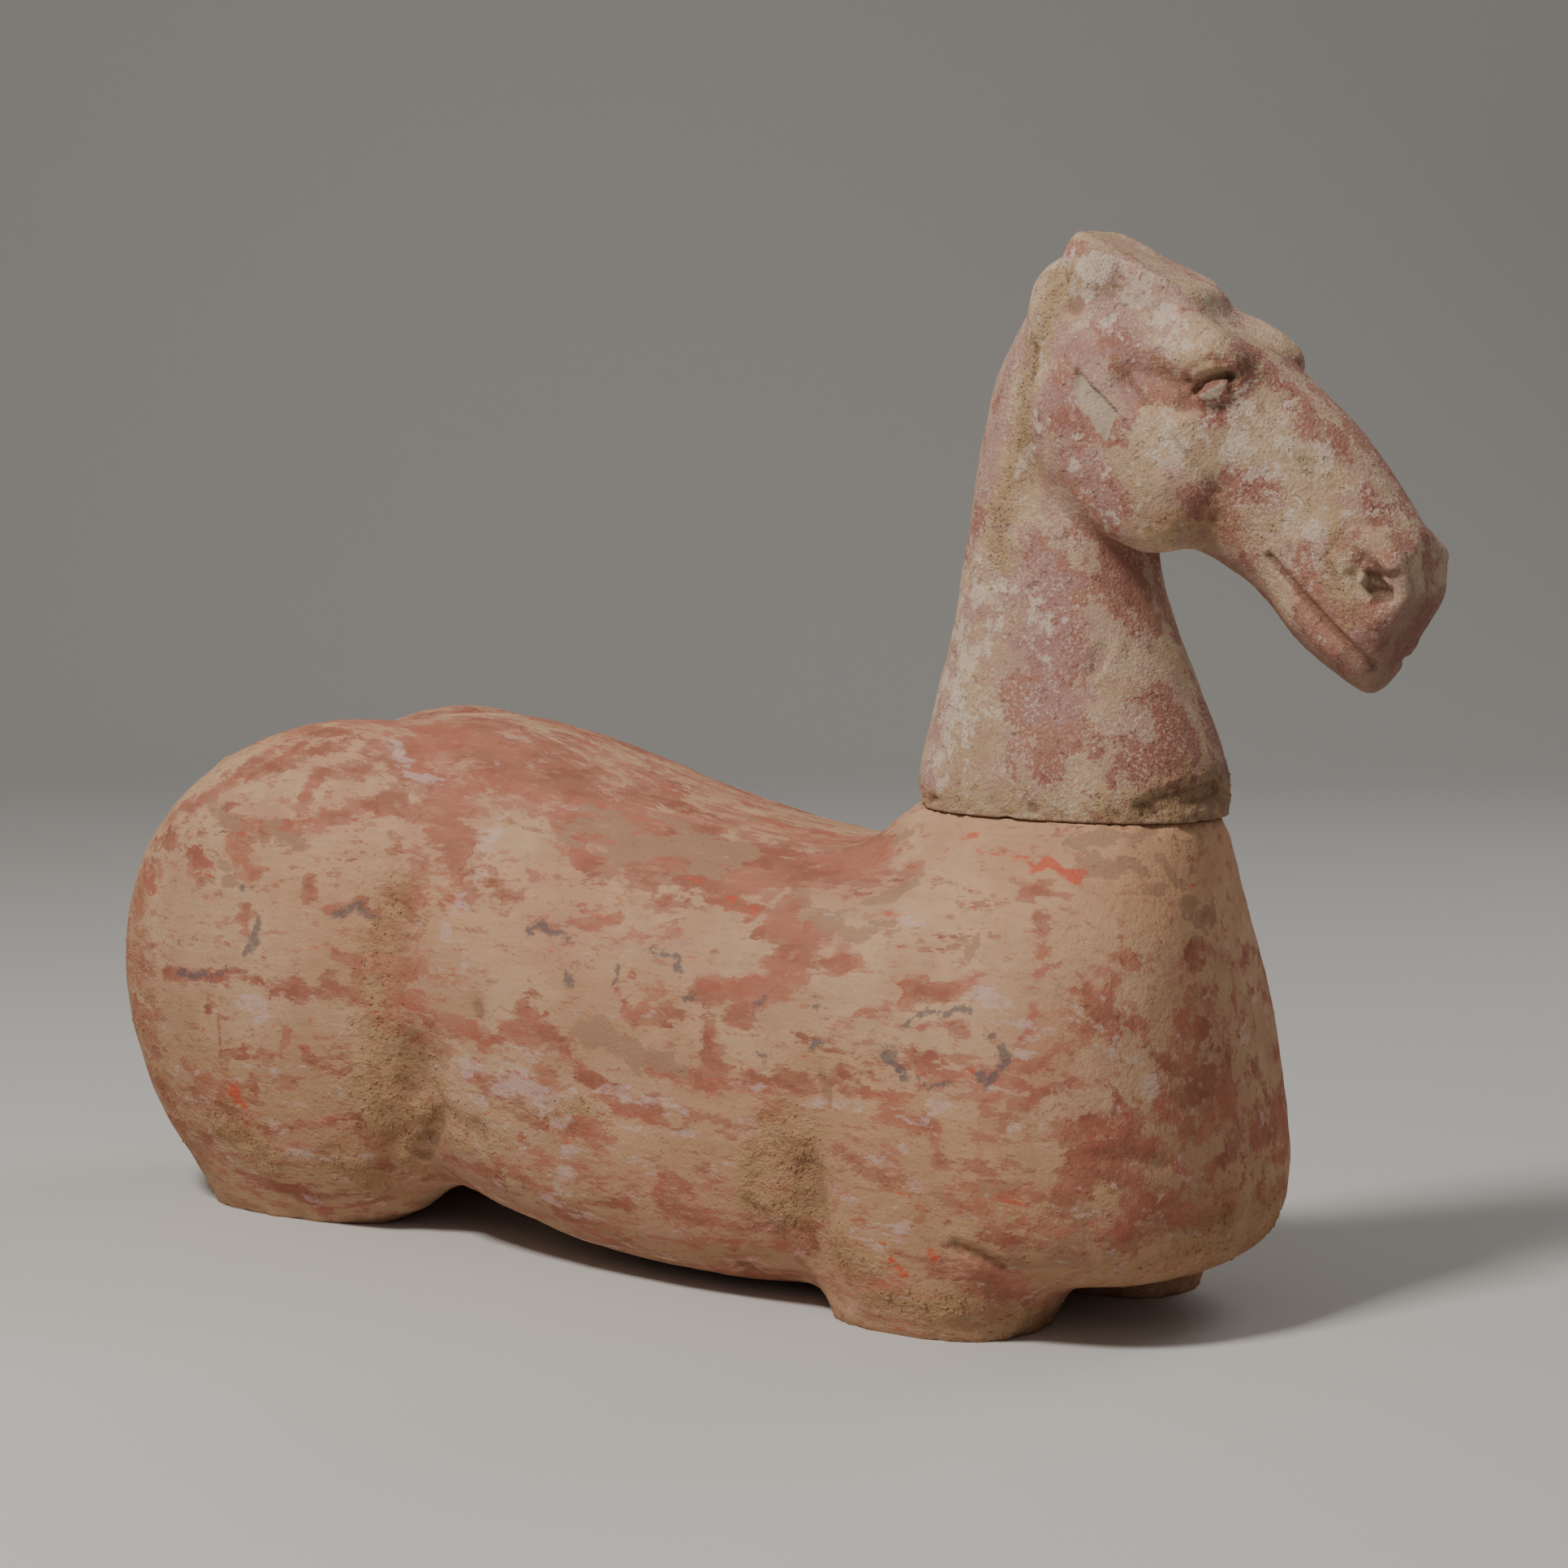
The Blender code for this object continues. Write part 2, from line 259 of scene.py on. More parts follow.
# %% Skin the two pieces
TORSO_RELAXING = 40
HEAD_RELAXING = 14
FLAT_MARGIN = 0.0006
NECK_GAP = 0.0003


def smooth_skin(node, name, grain, rounds, levels):
    """The fine skin of a node, relaxed everywhere but in its level cuts."""
    skin = fine_skin(node, name, grain)
    points = points_of(skin)
    freedom = np.ones(len(points))
    for level in levels:
        freedom[np.abs(points[:, 2] - level) < FLAT_MARGIN] = 0.0
    move_points(skin, relax(points, edges_of(skin), rounds, freedom))
    print(name, "has", len(points), "points")
    return skin


seat_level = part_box("head_and_neck")[0].z
stump_level = seat_level - NECK_GAP
torso = smooth_skin("horse_torso", "painted_torso", TORSO_GRAIN, TORSO_RELAXING, (0.0, stump_level))
head = smooth_skin("head_and_neck", "painted_head", HEAD_GRAIN, HEAD_RELAXING, (seat_level,))

# %% [markdown]
# ## Carving helpers
#
# Most marks on the horse follow a line: the mouth, the creases of the face, the bands of paint. Each is
# written as a route of a few points with a width. A helper tells how far every point of the skin lies from
# that route, and that distance drives both the carving tool and, further down, the brush.

# %% Routes
TINY = 1e-12
CORE = 0.3


def route_distance(places, route):
    """How far each place is from a route of straight runs."""
    closest = np.full(len(places), np.inf)
    for start, end in zip(route, route[1:]):
        start = np.array(start, float)
        run = np.array(end, float) - start
        along = np.clip(((places - start) @ run) / max(run @ run, TINY), 0.0, 1.0)
        closest = np.minimum(closest, np.linalg.norm(places - start - along[:, None] * run, axis=1))
    return closest


def nearness(places, route, radius):
    """1 on and close beside a route, falling softly to 0 at the radius."""
    return 1 - blend_between(route_distance(places, route), CORE * radius, radius)


def inside(places, corners, soft):
    """1 inside a flat shape given by its corners, falling to 0 over the soft distance inside its edge."""
    crossings = np.zeros(len(places), int)
    closest = route_distance(places, corners + corners[:1])
    for start, end in zip(corners, corners[1:] + corners[:1]):
        start = np.array(start, float)
        run = np.array(end, float) - start
        level = (places[:, 1] < start[1]) != (places[:, 1] < start[1] + run[1])
        where = start[0] + (places[:, 1] - start[1]) * run[0] / (run[1] or TINY)
        crossings += level & (places[:, 0] < where)
    return (crossings % 2) * blend_between(closest, 0.0, soft)


def chip(points, normals, route, radius, depth):
    """Press a ragged chip into the skin along a route in space."""
    hit = nearness(points, route, radius)
    return points - normals * (hit * depth)[:, None]


# %% [markdown]
# ## Carving the head
#
# The sculptor cut the mouth, nostrils and eyes with a knife into soft clay, so their edges are firm. Marks
# are placed in the head's own axes, in percent of its length: along the nose, out to the side, and up
# through the forehead. That keeps the numbers readable, and one table serves both cheeks.

# %% The head's axes
HEAD_LENGTH = 0.25
HEAD_TURN = math.radians(3.0)
HEAD_SLOPE = math.radians(41.0)
SKULL_MIDDLE = Vector((0.21826, 0.00157, seat_level + 0.202))

head_axes = (
    Matrix.Translation(SKULL_MIDDLE)
    @ Matrix.Rotation(HEAD_TURN, 4, "Z")
    @ Matrix.Rotation(HEAD_SLOPE, 4, "Y")
    @ Matrix.Scale(HEAD_LENGTH / 100, 4)
)


def in_head_axes(points):
    """Along, out and up in percent of the head's length."""
    back = np.array(head_axes.inverted())
    return points @ back[:3, :3].T + back[:3, 3]


print("the muzzle reaches", round(in_head_axes(points_of(head))[:, 0].max(), 1), "percent ahead of the skull")

# %% [markdown]
# Wet clay was smoothed where two masses meet, so the skin is relaxed further round the eye, the ear base
# and the mouth before the knife goes in. The forehead, the tip of the nose and the muzzle end in flat cuts
# with firm edges. A flat cut is made here by moving every point that stands proud of a plane back on to it.

# %% Soft places and flat cuts of the head
SOFT_SPOTS = (
    ((16.5, 13.5), 9.0, 34),
    ((8, 5.5), 8.0, 110),
    ((6, 20), 8.5, 110),
    ((-13, 10.5), 10.0, 120),
    ((61, -4.5), 17.0, 50),
    ((64, 7.5), 8.0, 16),
)
FLAT_CUTS = (
    ("forehead", (-4.5, 19.6), 106.0),
    ("nose tip", (66.9, 13.0), 45.0),
    ("muzzle", (71.3, 3.5), 11.0),
)
SPOT_CORE = 0.6


def soften_spots(obj):
    """Relax the skin in round spots on both sides of the face."""
    points = points_of(obj)
    places = in_head_axes(points)
    for middle, radius, rounds in SOFT_SPOTS:
        distance = np.linalg.norm(places[:, (0, 2)] - np.array(middle), axis=1)
        freedom = 1 - blend_between(distance, SPOT_CORE * radius, radius)
        points = relax(points, edges_of(obj), rounds, freedom)
    move_points(obj, points)


def cut_flat(obj):
    """Move points that stand in front of a plane back on to it."""
    points = points_of(obj)
    for _, through, lean in FLAT_CUTS:
        tilt = math.radians(lean)
        outward = np.array((math.cos(tilt), 0.0, math.sin(tilt)))
        proud = (in_head_axes(points) - np.array((through[0], 0.0, through[1]))) @ outward
        direction = np.array(head_axes.to_3x3()) @ outward
        points = points - np.clip(proud, 0, None)[:, None] * direction
    move_points(obj, points)


soften_spots(head)
cut_flat(head)
print("flat cuts:", [row[0] for row in FLAT_CUTS])

# %% [markdown]
# The knife marks come next. A groove is a route with a width and a depth, and a negative depth raises a
# ridge, such as the rim of the nostril or the pale lower lid. The broken place on the right cheek is a flat
# shape that is deepest beside its upper edge, where the flake tore away.

# %% Marks of the face
MARKS = (
    ("mouth", ((46, -2.9), (54, -3.8), (63, -4.3), (73, -4.2)), 1.3, 0.75),
    ("upper lip", ((56, -1.2), (63, -1.6), (71, -1.4)), 2.2, -0.20),
    ("lower lip", ((54, -6.4), (62, -7.4), (70, -7.4)), 2.4, -0.12),
    ("jaw crease", ((6, 4.9), (15.4, 4.0), (21.7, 2.8), (29.7, 1.3), (31.7, 0.2)), 1.2, 0.45),
    ("nose crease", ((28, 16), (37.7, 15), (46.3, 14.2)), 1.4, 0.35),
    ("brow crust", ((12.0, 13.5), (15.0, 17.0), (17.6, 18)), 4.2, -0.9),
    ("lid", ((17.2, 11.0), (17.2, 13.0), (18.4, 15.4), (20.3, 17.4)), 1.5, 1.7),
    ("lid fold", ((15.0, 11.4), (14.8, 13.8), (16.2, 16.6), (18.2, 18.6)), 1.0, 0.5),
    ("lower lid", ((18.6, 10.6), (20.4, 12.6), (21.2, 15.0)), 1.9, -0.6),
    ("inner corner", ((20.6, 17.6), (21.9, 16.0)), 1.0, 0.9),
    ("under the lid", ((17.0, 8.4), (20.0, 9.4), (22.6, 11.6)), 2.2, 0.5),
    ("corner of the eye", ((7.4, 5.0), (11.2, 7.4), (15.6, 8.6)), 5.4, 1.5),
    ("behind the cheek", ((-12.6, -5.4), (-6.2, -13.3), (-1, -17.5)), 1.8, 0.6),
    ("ear notch", ((-17, 9.4), (-14.4, 8.0), (-11.4, 6.1)), 2.8, 0.9),
    ("ear base", ((-19, 12.0), (-15.5, 13.2), (-12, 12.8)), 5.0, -0.9),
    ("rim of the nostril", ((56.8, 6.6), (56.4, 10.8), (59.4, 13.2), (63.6, 12.8)), 3.2, -1.1),
    ("flap in the nostril", ((62.2, 6.6), (65.4, 8.6)), 1.6, -0.8),
    ("wing of the nostril", ((58.5, 4.6), (63, 2.4), (68.6, 2.2)), 1.5, -0.45),
)
NOSTRIL = [(60.4, 8.1), (63, 9.7), (65.8, 9.8), (69.3, 7.4), (66.6, 3.9), (61.7, 5.0)]
NOSTRIL_DEPTH = 1.5
NOSTRIL_SLOPE = 2.0
NOSTRIL_SHADE = 2.4
BREAK = [(-2.8, -0.6), (9.4, -0.6), (12.0, -6.6), (0.0, -4.4)]
BREAK_DEPTH = 2.2
BREAK_EDGE = 0.5
BREAK_HEIGHT = 4.5
BREAK_EASING = 0.75
BARE_LID = [(18.0, 10.4), (18.6, 12.6), (20.6, 17.4), (22.2, 13.6), (20.4, 10.8)]
LID_SLIT = ((17.6, 12.0), (18.6, 15.0), (20.0, 17.0))
LID_EDGE = 0.9
LID_SHARE = 0.8
SLIT_WIDTH = 1.1
NOSE_STRIP = (4, 6)
CHIPS = (
    ((0.250, -0.036, 0.242), (0.260, -0.020, 0.2465), (0.265, 0.003, 0.249), 0.0085, 0.0030),
    ((0.252, -0.036, 0.254), (0.262, -0.018, 0.2565), (0.2655, 0.000, 0.257), 0.0040, -0.0006),
    ((0.222, -0.034, 0.305), (0.223, -0.033, 0.309), (0.225, -0.032, 0.313), 0.0060, 0.0012),
    ((0.120, -0.032, 0.236), (0.122, -0.030, 0.238), (0.124, -0.028, 0.241), 0.0080, 0.0030),
    ((0.198, -0.026, 0.470), (0.190, -0.028, 0.447), (0.188, -0.029, 0.422), 0.0045, -0.0009),
    ((0.188, -0.029, 0.422), (0.182, -0.030, 0.404), (0.169, -0.031, 0.355), 0.0045, -0.0007),
)


def carve_face(obj):
    """Press or raise every mark on both sides, and take the flake off the right cheek."""
    points = points_of(obj)
    normals = normals_of(obj)
    places = in_head_axes(points)
    seen = places[:, (0, 2)]
    beside = blend_between(np.abs(places[:, 1]), *NOSE_STRIP)
    depth = NOSTRIL_DEPTH * inside(seen, NOSTRIL, NOSTRIL_SLOPE) * beside
    for _, route, radius, deep in MARKS:
        depth += deep * nearness(seen, route, radius) * beside
    down = np.clip((BREAK[0][1] + BREAK_EDGE - seen[:, 1]) / BREAK_HEIGHT, 0, 1)
    broken = inside(seen, BREAK, BREAK_EDGE) * (places[:, 1] < 0)
    depth += BREAK_DEPTH * broken * (1 - BREAK_EASING * down)
    bare = np.maximum(broken, LID_SHARE * inside(seen, BARE_LID, LID_EDGE) * beside)
    # The nostril and the eye slit are kept as openings, where the finish paints shade.
    slit = LID_SHARE * nearness(seen, LID_SLIT, SLIT_WIDTH)
    hole_shade = np.maximum(inside(seen, NOSTRIL, NOSTRIL_SHADE), slit) * beside
    points = points - normals * (depth * HEAD_LENGTH / 100)[:, None]
    for first, second, third, radius, deep in CHIPS:
        points = chip(points, normals, (first, second, third), radius, deep)
    move_points(obj, points)
    return bare, hole_shade


bare_clay, shaded_openings = carve_face(head)
print("marks:", [mark[0] for mark in MARKS])

# %% [markdown]
# ## Folds and scars of the body
#
# The groin and the back of the foreleg are folded deeper than the solid shows, and the shoulder carries a
# few old knocks. They are written as routes in millimetres seen from the side, kept to one side or given to
# both.

# %% Folds, scars and chipped rims
FOLDS = (
    ("groin", ((-131, 96), (-138, 66), (-156, 26)), 26, 3.6, "both"),
    ("haunch groove", ((-150, 170), (-152, 121), (-147, 91)), 26, 2.2, "both"),
    ("groin crease", ((-146, 44), (-122, 70), (-90, 66)), 8, 1.6, "both"),
    ("fold behind the foreleg", ((110, 70), (113, 41), (124, 14)), 17, 2.4, "both"),
    ("edge of the caked earth", ((76, 82), (77, 60), (92, 46)), 5, -1.6, "right"),
    ("crack", ((118, 118), (121, 112), (123, 105)), 4, 1.2, "right"),
    ("slit", ((192, 47), (203, 44), (211, 39)), 5, 2.2, "right"),
    ("lip of the slit", ((190, 51), (203, 49), (214, 43)), 5, -0.9, "right"),
    ("chest scar", ((276, 60), (288, 59)), 8, 1.8, "right"),
    ("scratch", ((256, 92), (264, 90), (272, 87)), 4, 1.0, "right"),
    ("pit on the flank", ((-91, 128), (-90, 126)), 6, 1.6, "right"),
)
FOLD_SIDE = (0.0, 0.01)
FOLD_FOOT = (0.002, 0.012)
RIM_SEED = 11
RIM_UPRIGHT = 0.9
CHIP_SIZES = (0.5, 1.0)
CHIP_STRETCH = (1.0, 1.0, 1.6)
CHIP_CORE = 0.4
RIMS = (
    (torso, 0.003, 0.016, 60, 0.012, 0.0016),
    (torso, stump_level - 0.004, stump_level - 0.0005, 30, 0.007, 0.0011),
    (head, seat_level + 0.0008, seat_level + 0.006, 44, 0.006, 0.0011),
)


def fold_body(obj):
    """Press or raise every fold and scar of the body."""
    points = points_of(obj)
    places = points[:, (0, 2)] * 1000
    depth = np.zeros(len(points))
    for _, route, radius, deep, where in FOLDS:
        side = blend_between(-points[:, 1], *FOLD_SIDE) if where == "right" else 1.0
        depth += deep * nearness(places, route, radius) * side
    high = blend_between(points[:, 2], *FOLD_FOOT)
    move_points(obj, points - normals_of(obj) * (depth * high / 1000)[:, None])


def chip_rim(obj, low, high, count, radius, depth):
    """Knock small chips out of a rim, at places drawn with a fixed seed."""
    points = points_of(obj)
    normals = normals_of(obj)
    draw = np.random.default_rng(RIM_SEED)
    level = (points[:, 2] > low) & (points[:, 2] < high) & (np.abs(normals[:, 2]) < RIM_UPRIGHT)
    rim = np.flatnonzero(level)
    for middle in points[draw.choice(rim, count)]:
        size = radius * draw.uniform(*CHIP_SIZES)
        distance = np.linalg.norm((points - middle) * CHIP_STRETCH, axis=1)
        hit = depth * size / radius * (1 - blend_between(distance, CHIP_CORE * size, size))
        points = points - normals * hit[:, None]
    move_points(obj, points)


fold_body(torso)
for row in RIMS:
    chip_rim(*row)
print("folds:", [fold[0] for fold in FOLDS])

# %% [markdown]
# ## Where the paint lies
#
# The paint survives in ragged bands and islands. The broad places are laid out here as brush strokes seen
# from the side, each with a width and a strength, and kept on the skin as an attribute. The ragged edge
# itself comes later, in the material, where a fractal noise eats into each stroke. Painting the flakes by
# hand would take thousands of strokes, and a plain noise alone would put the bands in the wrong places.

# %% Brushes
SIDE_MARGIN = 0.012
WARPS = ((0.026, 6.5), (0.009, 4.0))
ELSEWHERE = Vector((5.3, 1.7, 9.1))
SPREAD = 1.55
BODY_OF_PAINT = 1.3
COVERED = 0.4


def on_side(points, side):
    """1 on the horse's right for -1 or left for 1, with a soft change at the middle."""
    return blend_between(side * points[:, 1], -SIDE_MARGIN, SIDE_MARGIN)


def warped(points):
    """Places seen from the side in millimetres, pushed about so that no stroke keeps its outline."""
    places = points[:, (0, 2)] * 1000
    for size, push in WARPS:
        spots = [Vector(p) for p in points / size]
        places = places + push * np.array([(noise.noise(p), noise.noise(p + ELSEWHERE)) for p in spots])
    return places


def brush(points, places, strokes, side):
    """The strongest stroke at each point, fading from its route outwards. Routes are x, z in millimetres."""
    strength = np.zeros(len(points))
    for radius, firm, route in strokes:
        fading = 1 - np.clip(route_distance(places, route) / (SPREAD * radius), 0.0, 1.0)
        strength = np.maximum(strength, BODY_OF_PAINT * firm * fading)
    return strength * on_side(points, side)


def both_sides(points, places, right, left):
    """Strokes of the right side, and those of the left."""
    return np.maximum(brush(points, places, right, -1), brush(points, places, left, 1))


def mirrored(strokes, shift, fade):
    """Strokes for the hidden side: moved along by the shift, down by a quarter of it, and fainter."""
    moved = []
    for radius, firm, route in strokes:
        moved.append((radius, firm * fade, [(x + shift, z - shift / 4) for x, z in route]))
    return moved


def keep(obj, name, values):
    """Keep a value for each point as a named attribute, for the material to read."""
    attribute = obj.data.attributes.new(name, "FLOAT", "POINT")
    attribute.data.foreach_set("value", values.astype(np.float32))
    print(f"{obj.name}: {name} covers {np.mean(values > COVERED):.0%} of the points")


# %% Paint on the torso
TORSO_RED = [
    (14.5, 0.95, [(-167, 251), (-131, 247), (-92, 237), (-61, 227), (-32, 218), (1, 210), (30, 205),
        (58, 203), (80, 206), (110, 210)]),
    (18.2, 0.85, [(-156, 242), (-134, 227), (-118, 212), (-110, 196)]),
    (20.0, 0.52, [(-133, 189), (-140, 162), (-145, 141), (-133, 123), (-116, 117)]),
    (7.3, 0.95, [(-260, 211), (-236, 207), (-211, 205), (-197, 213), (-173, 220), (-159, 226)]),
    (7.3, 0.85, [(-297, 212), (-275, 223), (-244, 237), (-230, 246)]),
    (5.8, 0.8, [(-208, 219), (-208, 233), (-184, 234), (-169, 244)]),
    (7.3, 0.8, [(-184, 245), (-167, 242), (-151, 240)]),
    (6.5, 0.8, [(-284, 190), (-274, 183)]),
    (6.5, 0.85, [(-251, 200), (-246, 189), (-236, 182)]),
    (5.8, 0.7, [(-322, 192), (-307, 208), (-299, 219)]),
    (6.5, 0.8, [(-197, 179), (-196, 174)]),
    (4.0, 0.8, [(-184, 171), (-161, 172)]),
    (4.7, 0.8, [(-240, 164), (-239, 152)]),
    (4.7, 0.85, [(-301, 124), (-256, 130), (-228, 127), (-204, 127), (-182, 126), (-160, 124)]),
    (4.0, 0.75, [(-179, 145), (-165, 141), (-167, 134)]),
    (5.1, 0.7, [(-264, 119), (-266, 111)]),
    (1.8, 0.85, [(-258, 109), (-258, 88), (-224, 92)]),
    (3.6, 0.75, [(-213, 106), (-219, 92)]),
    (4.4, 0.75, [(-201, 97), (-194, 87), (-176, 86)]),
    (4.0, 0.75, [(-238, 80), (-236, 67)]),
    (4.7, 0.75, [(-288, 77), (-275, 72)]),
    (3.3, 0.75, [(-225, 55), (-196, 55)]),
    (7.3, 0.6, [(-196, 58), (-174, 63), (-165, 50)]),
    (5.1, 0.8, [(-264, 24), (-260, 17), (-233, 20)]),
    (6.5, 0.8, [(-225, 17), (-216, 11)]),
    (5.1, 0.7, [(-292, 29), (-276, 22)]),
    (14.5, 0.55, [(-332, 139), (-322, 104), (-318, 61), (-306, 27)]),
    (5.8, 0.85, [(-37, 202), (-12, 197), (4, 189)]),
    (5.1, 0.85, [(-33, 204), (9, 200), (43, 193), (68, 191)]),
    (4.4, 0.85, [(13, 185), (29, 185)]),
    (3.6, 0.8, [(-64, 193), (-47, 192)]),
    (3.6, 0.8, [(-91, 190), (-69, 187)]),
    (3.6, 0.8, [(-55, 170), (-19, 172)]),
    (2.9, 0.75, [(-6, 168), (33, 171)]),
    (2.5, 0.75, [(-36, 179), (-9, 177)]),
    (8.0, 0.9, [(82, 190), (94, 172), (90, 158), (70, 150), (50, 149)]),
    (5.8, 0.8, [(74, 178), (105, 179)]),
    (2.9, 0.85, [(-1, 150), (5, 139), (20, 136), (38, 136)]),
    (5.1, 0.95, [(-62, 130), (-49, 122), (-36, 114)]),
    (7.3, 0.85, [(-103, 113), (-62, 118), (-32, 112), (-16, 101), (5, 90), (27, 90)]),
    (11.6, 0.62, [(-100, 94), (-69, 85), (-45, 98)]),
    (5.8, 0.95, [(55, 131), (62, 120)]),
    (8.0, 0.85, [(24, 115), (47, 111), (82, 113), (109, 111)]),
    (3.6, 0.8, [(-59, 76), (-33, 75), (-1, 76)]),
    (7.3, 0.6, [(42, 89), (76, 88), (103, 100)]),
    (7.3, 0.7, [(-126, 44), (-103, 41), (-77, 49)]),
    (8.0, 0.66, [(-70, 48), (-52, 38), (-27, 20), (-15, 13)]),
    (10.2, 0.7, [(30, 43), (72, 40), (104, 40)]),
    (10.9, 0.5, [(46, 14), (89, 19)]),
    (5.5, 0.9, [(35, 206), (74, 207), (103, 212), (140, 210)]),
    (4.2, 0.9, [(48, 191), (63, 190)]),
    (7.3, 0.92, [(76, 183), (102, 174), (103, 166), (88, 151), (71, 142)]),
    (5.5, 0.85, [(120, 175), (130, 172), (113, 167)]),
    (5.5, 0.85, [(163, 160), (180, 164), (196, 167)]),
    (3.0, 0.75, [(122, 138), (135, 144), (147, 148)]),
    (2.7, 0.75, [(171, 141), (193, 146)]),
    (3.0, 0.7, [(177, 129), (199, 139)]),
    (3.0, 0.75, [(136, 127), (125, 118), (143, 114)]),
    (3.0, 0.8, [(204, 204), (211, 208), (224, 204)]),
    (3.0, 0.7, [(214, 194), (220, 183)]),
    (6.7, 0.8, [(248, 171), (248, 162), (249, 151)]),
    (3.0, 0.7, [(251, 175), (256, 169)]),
    (2.7, 0.85, [(221, 159), (221, 148), (219, 142)]),
    (4.0, 0.66, [(245, 146), (236, 134), (227, 128)]),
    (3.6, 0.65, [(225, 176), (240, 180)]),
    (1.8, 0.7, [(259, 158), (261, 140)]),
    (3.9, 0.75, [(269, 152), (270, 131), (270, 120)]),
    (4.8, 0.78, [(275, 127), (276, 111), (276, 106)]),
    (6.1, 0.78, [(277, 125), (279, 111), (280, 101)]),
    (2.7, 0.7, [(268, 195), (270, 171)]),
    (2.7, 0.65, [(271, 165), (274, 139)]),
    (9.1, 0.97, [(249, 98), (252, 83), (249, 77)]),
    (7.9, 0.97, [(253, 107), (262, 103), (260, 95)]),
    (7.9, 0.9, [(254, 90), (268, 94)]),
    (7.3, 0.85, [(255, 85), (263, 80)]),
    (4.2, 0.75, [(275, 86), (281, 83)]),
    (3.6, 0.8, [(123, 110), (156, 111)]),
    (6.1, 0.72, [(154, 101), (183, 100), (188, 89)]),
    (4.2, 0.75, [(201, 89), (216, 90)]),
    (4.5, 0.78, [(213, 107), (231, 115), (244, 120), (255, 125)]),
    (3.6, 0.75, [(205, 113), (213, 118)]),
    (4.8, 0.6, [(133, 87), (162, 86)]),
    (7.9, 0.72, [(209, 62), (216, 52), (229, 60)]),
    (9.1, 0.7, [(242, 57), (257, 60), (269, 65)]),
    (5.5, 0.75, [(275, 71), (272, 62), (279, 66)]),
    (4.2, 0.8, [(277, 56), (279, 60)]),
    (6.7, 0.55, [(284, 72), (283, 52)]),
    (12.1, 0.8, [(187, 36), (203, 30), (212, 26)]),
    (7.9, 0.6, [(235, 49), (249, 48)]),
    (18.0, 0.6, [(-336, 150), (-314, 196)]),
    (18.0, 0.6, [(-262, 250), (-200, 262)]),
    (24.0, 0.5, [(-346, 96), (-350, 130)]),
    (12.0, 0.50, [(-112, 104), (-60, 78), (-12, 72)]),
    (12.0, 0.50, [(-60, 60), (0, 52), (62, 62)]),
    (13.0, 0.46, [(122, 130), (180, 120), (228, 134)]),
    (12.0, 0.50, [(132, 82), (182, 70), (232, 76)]),
    (14.0, 0.44, [(-284, 62), (-222, 46)]),
]
TORSO_BROWN = [
    (7.0, 0.8, [(-284, 214), (-250, 206)]),
    (6.0, 0.8, [(-262, 192), (-250, 178)]),
    (8.7, 0.95, [(-18, 122), (10, 123), (11, 116)]),
    (9.5, 0.8, [(-55, 219), (-24, 213), (12, 206), (34, 204)]),
    (7.3, 0.8, [(27, 116), (42, 113)]),
    (8.0, 0.7, [(-236, 207), (-211, 205)]),
    (3.9, 0.9, [(179, 194), (182, 186), (191, 179), (197, 192)]),
    (4.8, 0.85, [(84, 188), (112, 182), (129, 183), (144, 186)]),
    (4.2, 0.8, [(102, 186), (120, 191), (135, 201), (146, 207)]),
    (3.6, 0.75, [(122, 217), (133, 226)]),
    (3.6, 0.8, [(219, 230), (234, 229), (249, 229)]),
    (5.5, 0.85, [(230, 218), (237, 214), (246, 218)]),
    (4.2, 0.8, [(257, 218), (260, 210)]),
    (3.6, 0.75, [(244, 204), (253, 205)]),
    (4.8, 0.8, [(263, 199), (267, 189), (267, 194)]),
    (7.3, 0.7, [(184, 72), (201, 68), (209, 75), (225, 80)]),
    (7.9, 0.7, [(241, 50), (253, 60)]),
    (10.3, 0.6, [(221, 39), (255, 43)]),
    (6.1, 0.6, [(264, 233), (265, 224)]),
]
TORSO_LILAC = [
    (9.5, 0.72, [(-100, 94), (-79, 89), (-59, 99), (-46, 93)]),
    (6.5, 0.8, [(-79, 91), (-46, 93)]),
    (7.3, 0.8, [(-7, 105), (18, 96), (42, 91)]),
    (4.4, 0.85, [(-106, 186), (-111, 174), (-113, 162)]),
    (3.6, 0.75, [(-99, 156), (-101, 143)]),
    (5.8, 0.8, [(-175, 246), (-151, 235)]),
    (5.8, 0.75, [(-98, 194), (-90, 222)]),
    (5.8, 0.75, [(-238, 119), (-228, 110)]),
    (8.7, 0.65, [(-37, 60), (-28, 51), (-52, 38)]),
    (3.6, 0.8, [(-26, 93), (-22, 79), (-39, 76)]),
    (4.8, 0.8, [(165, 182), (180, 182)]),
    (3.3, 0.8, [(186, 174), (194, 171)]),
    (7.3, 0.75, [(199, 160), (220, 152)]),
    (5.5, 0.72, [(251, 143), (257, 136)]),
    (4.8, 0.8, [(266, 123), (269, 116)]),
    (4.5, 0.9, [(114, 98), (145, 99)]),
    (6.1, 0.72, [(156, 99), (178, 103)]),
    (4.2, 0.72, [(219, 104), (232, 107)]),
    (3.6, 0.85, [(178, 111), (191, 110)]),
    (3.0, 0.8, [(83, 112), (93, 112)]),
    (10.3, 0.5, [(222, 141), (240, 152)]),
    (5.5, 0.6, [(147, 193), (154, 185)]),
]
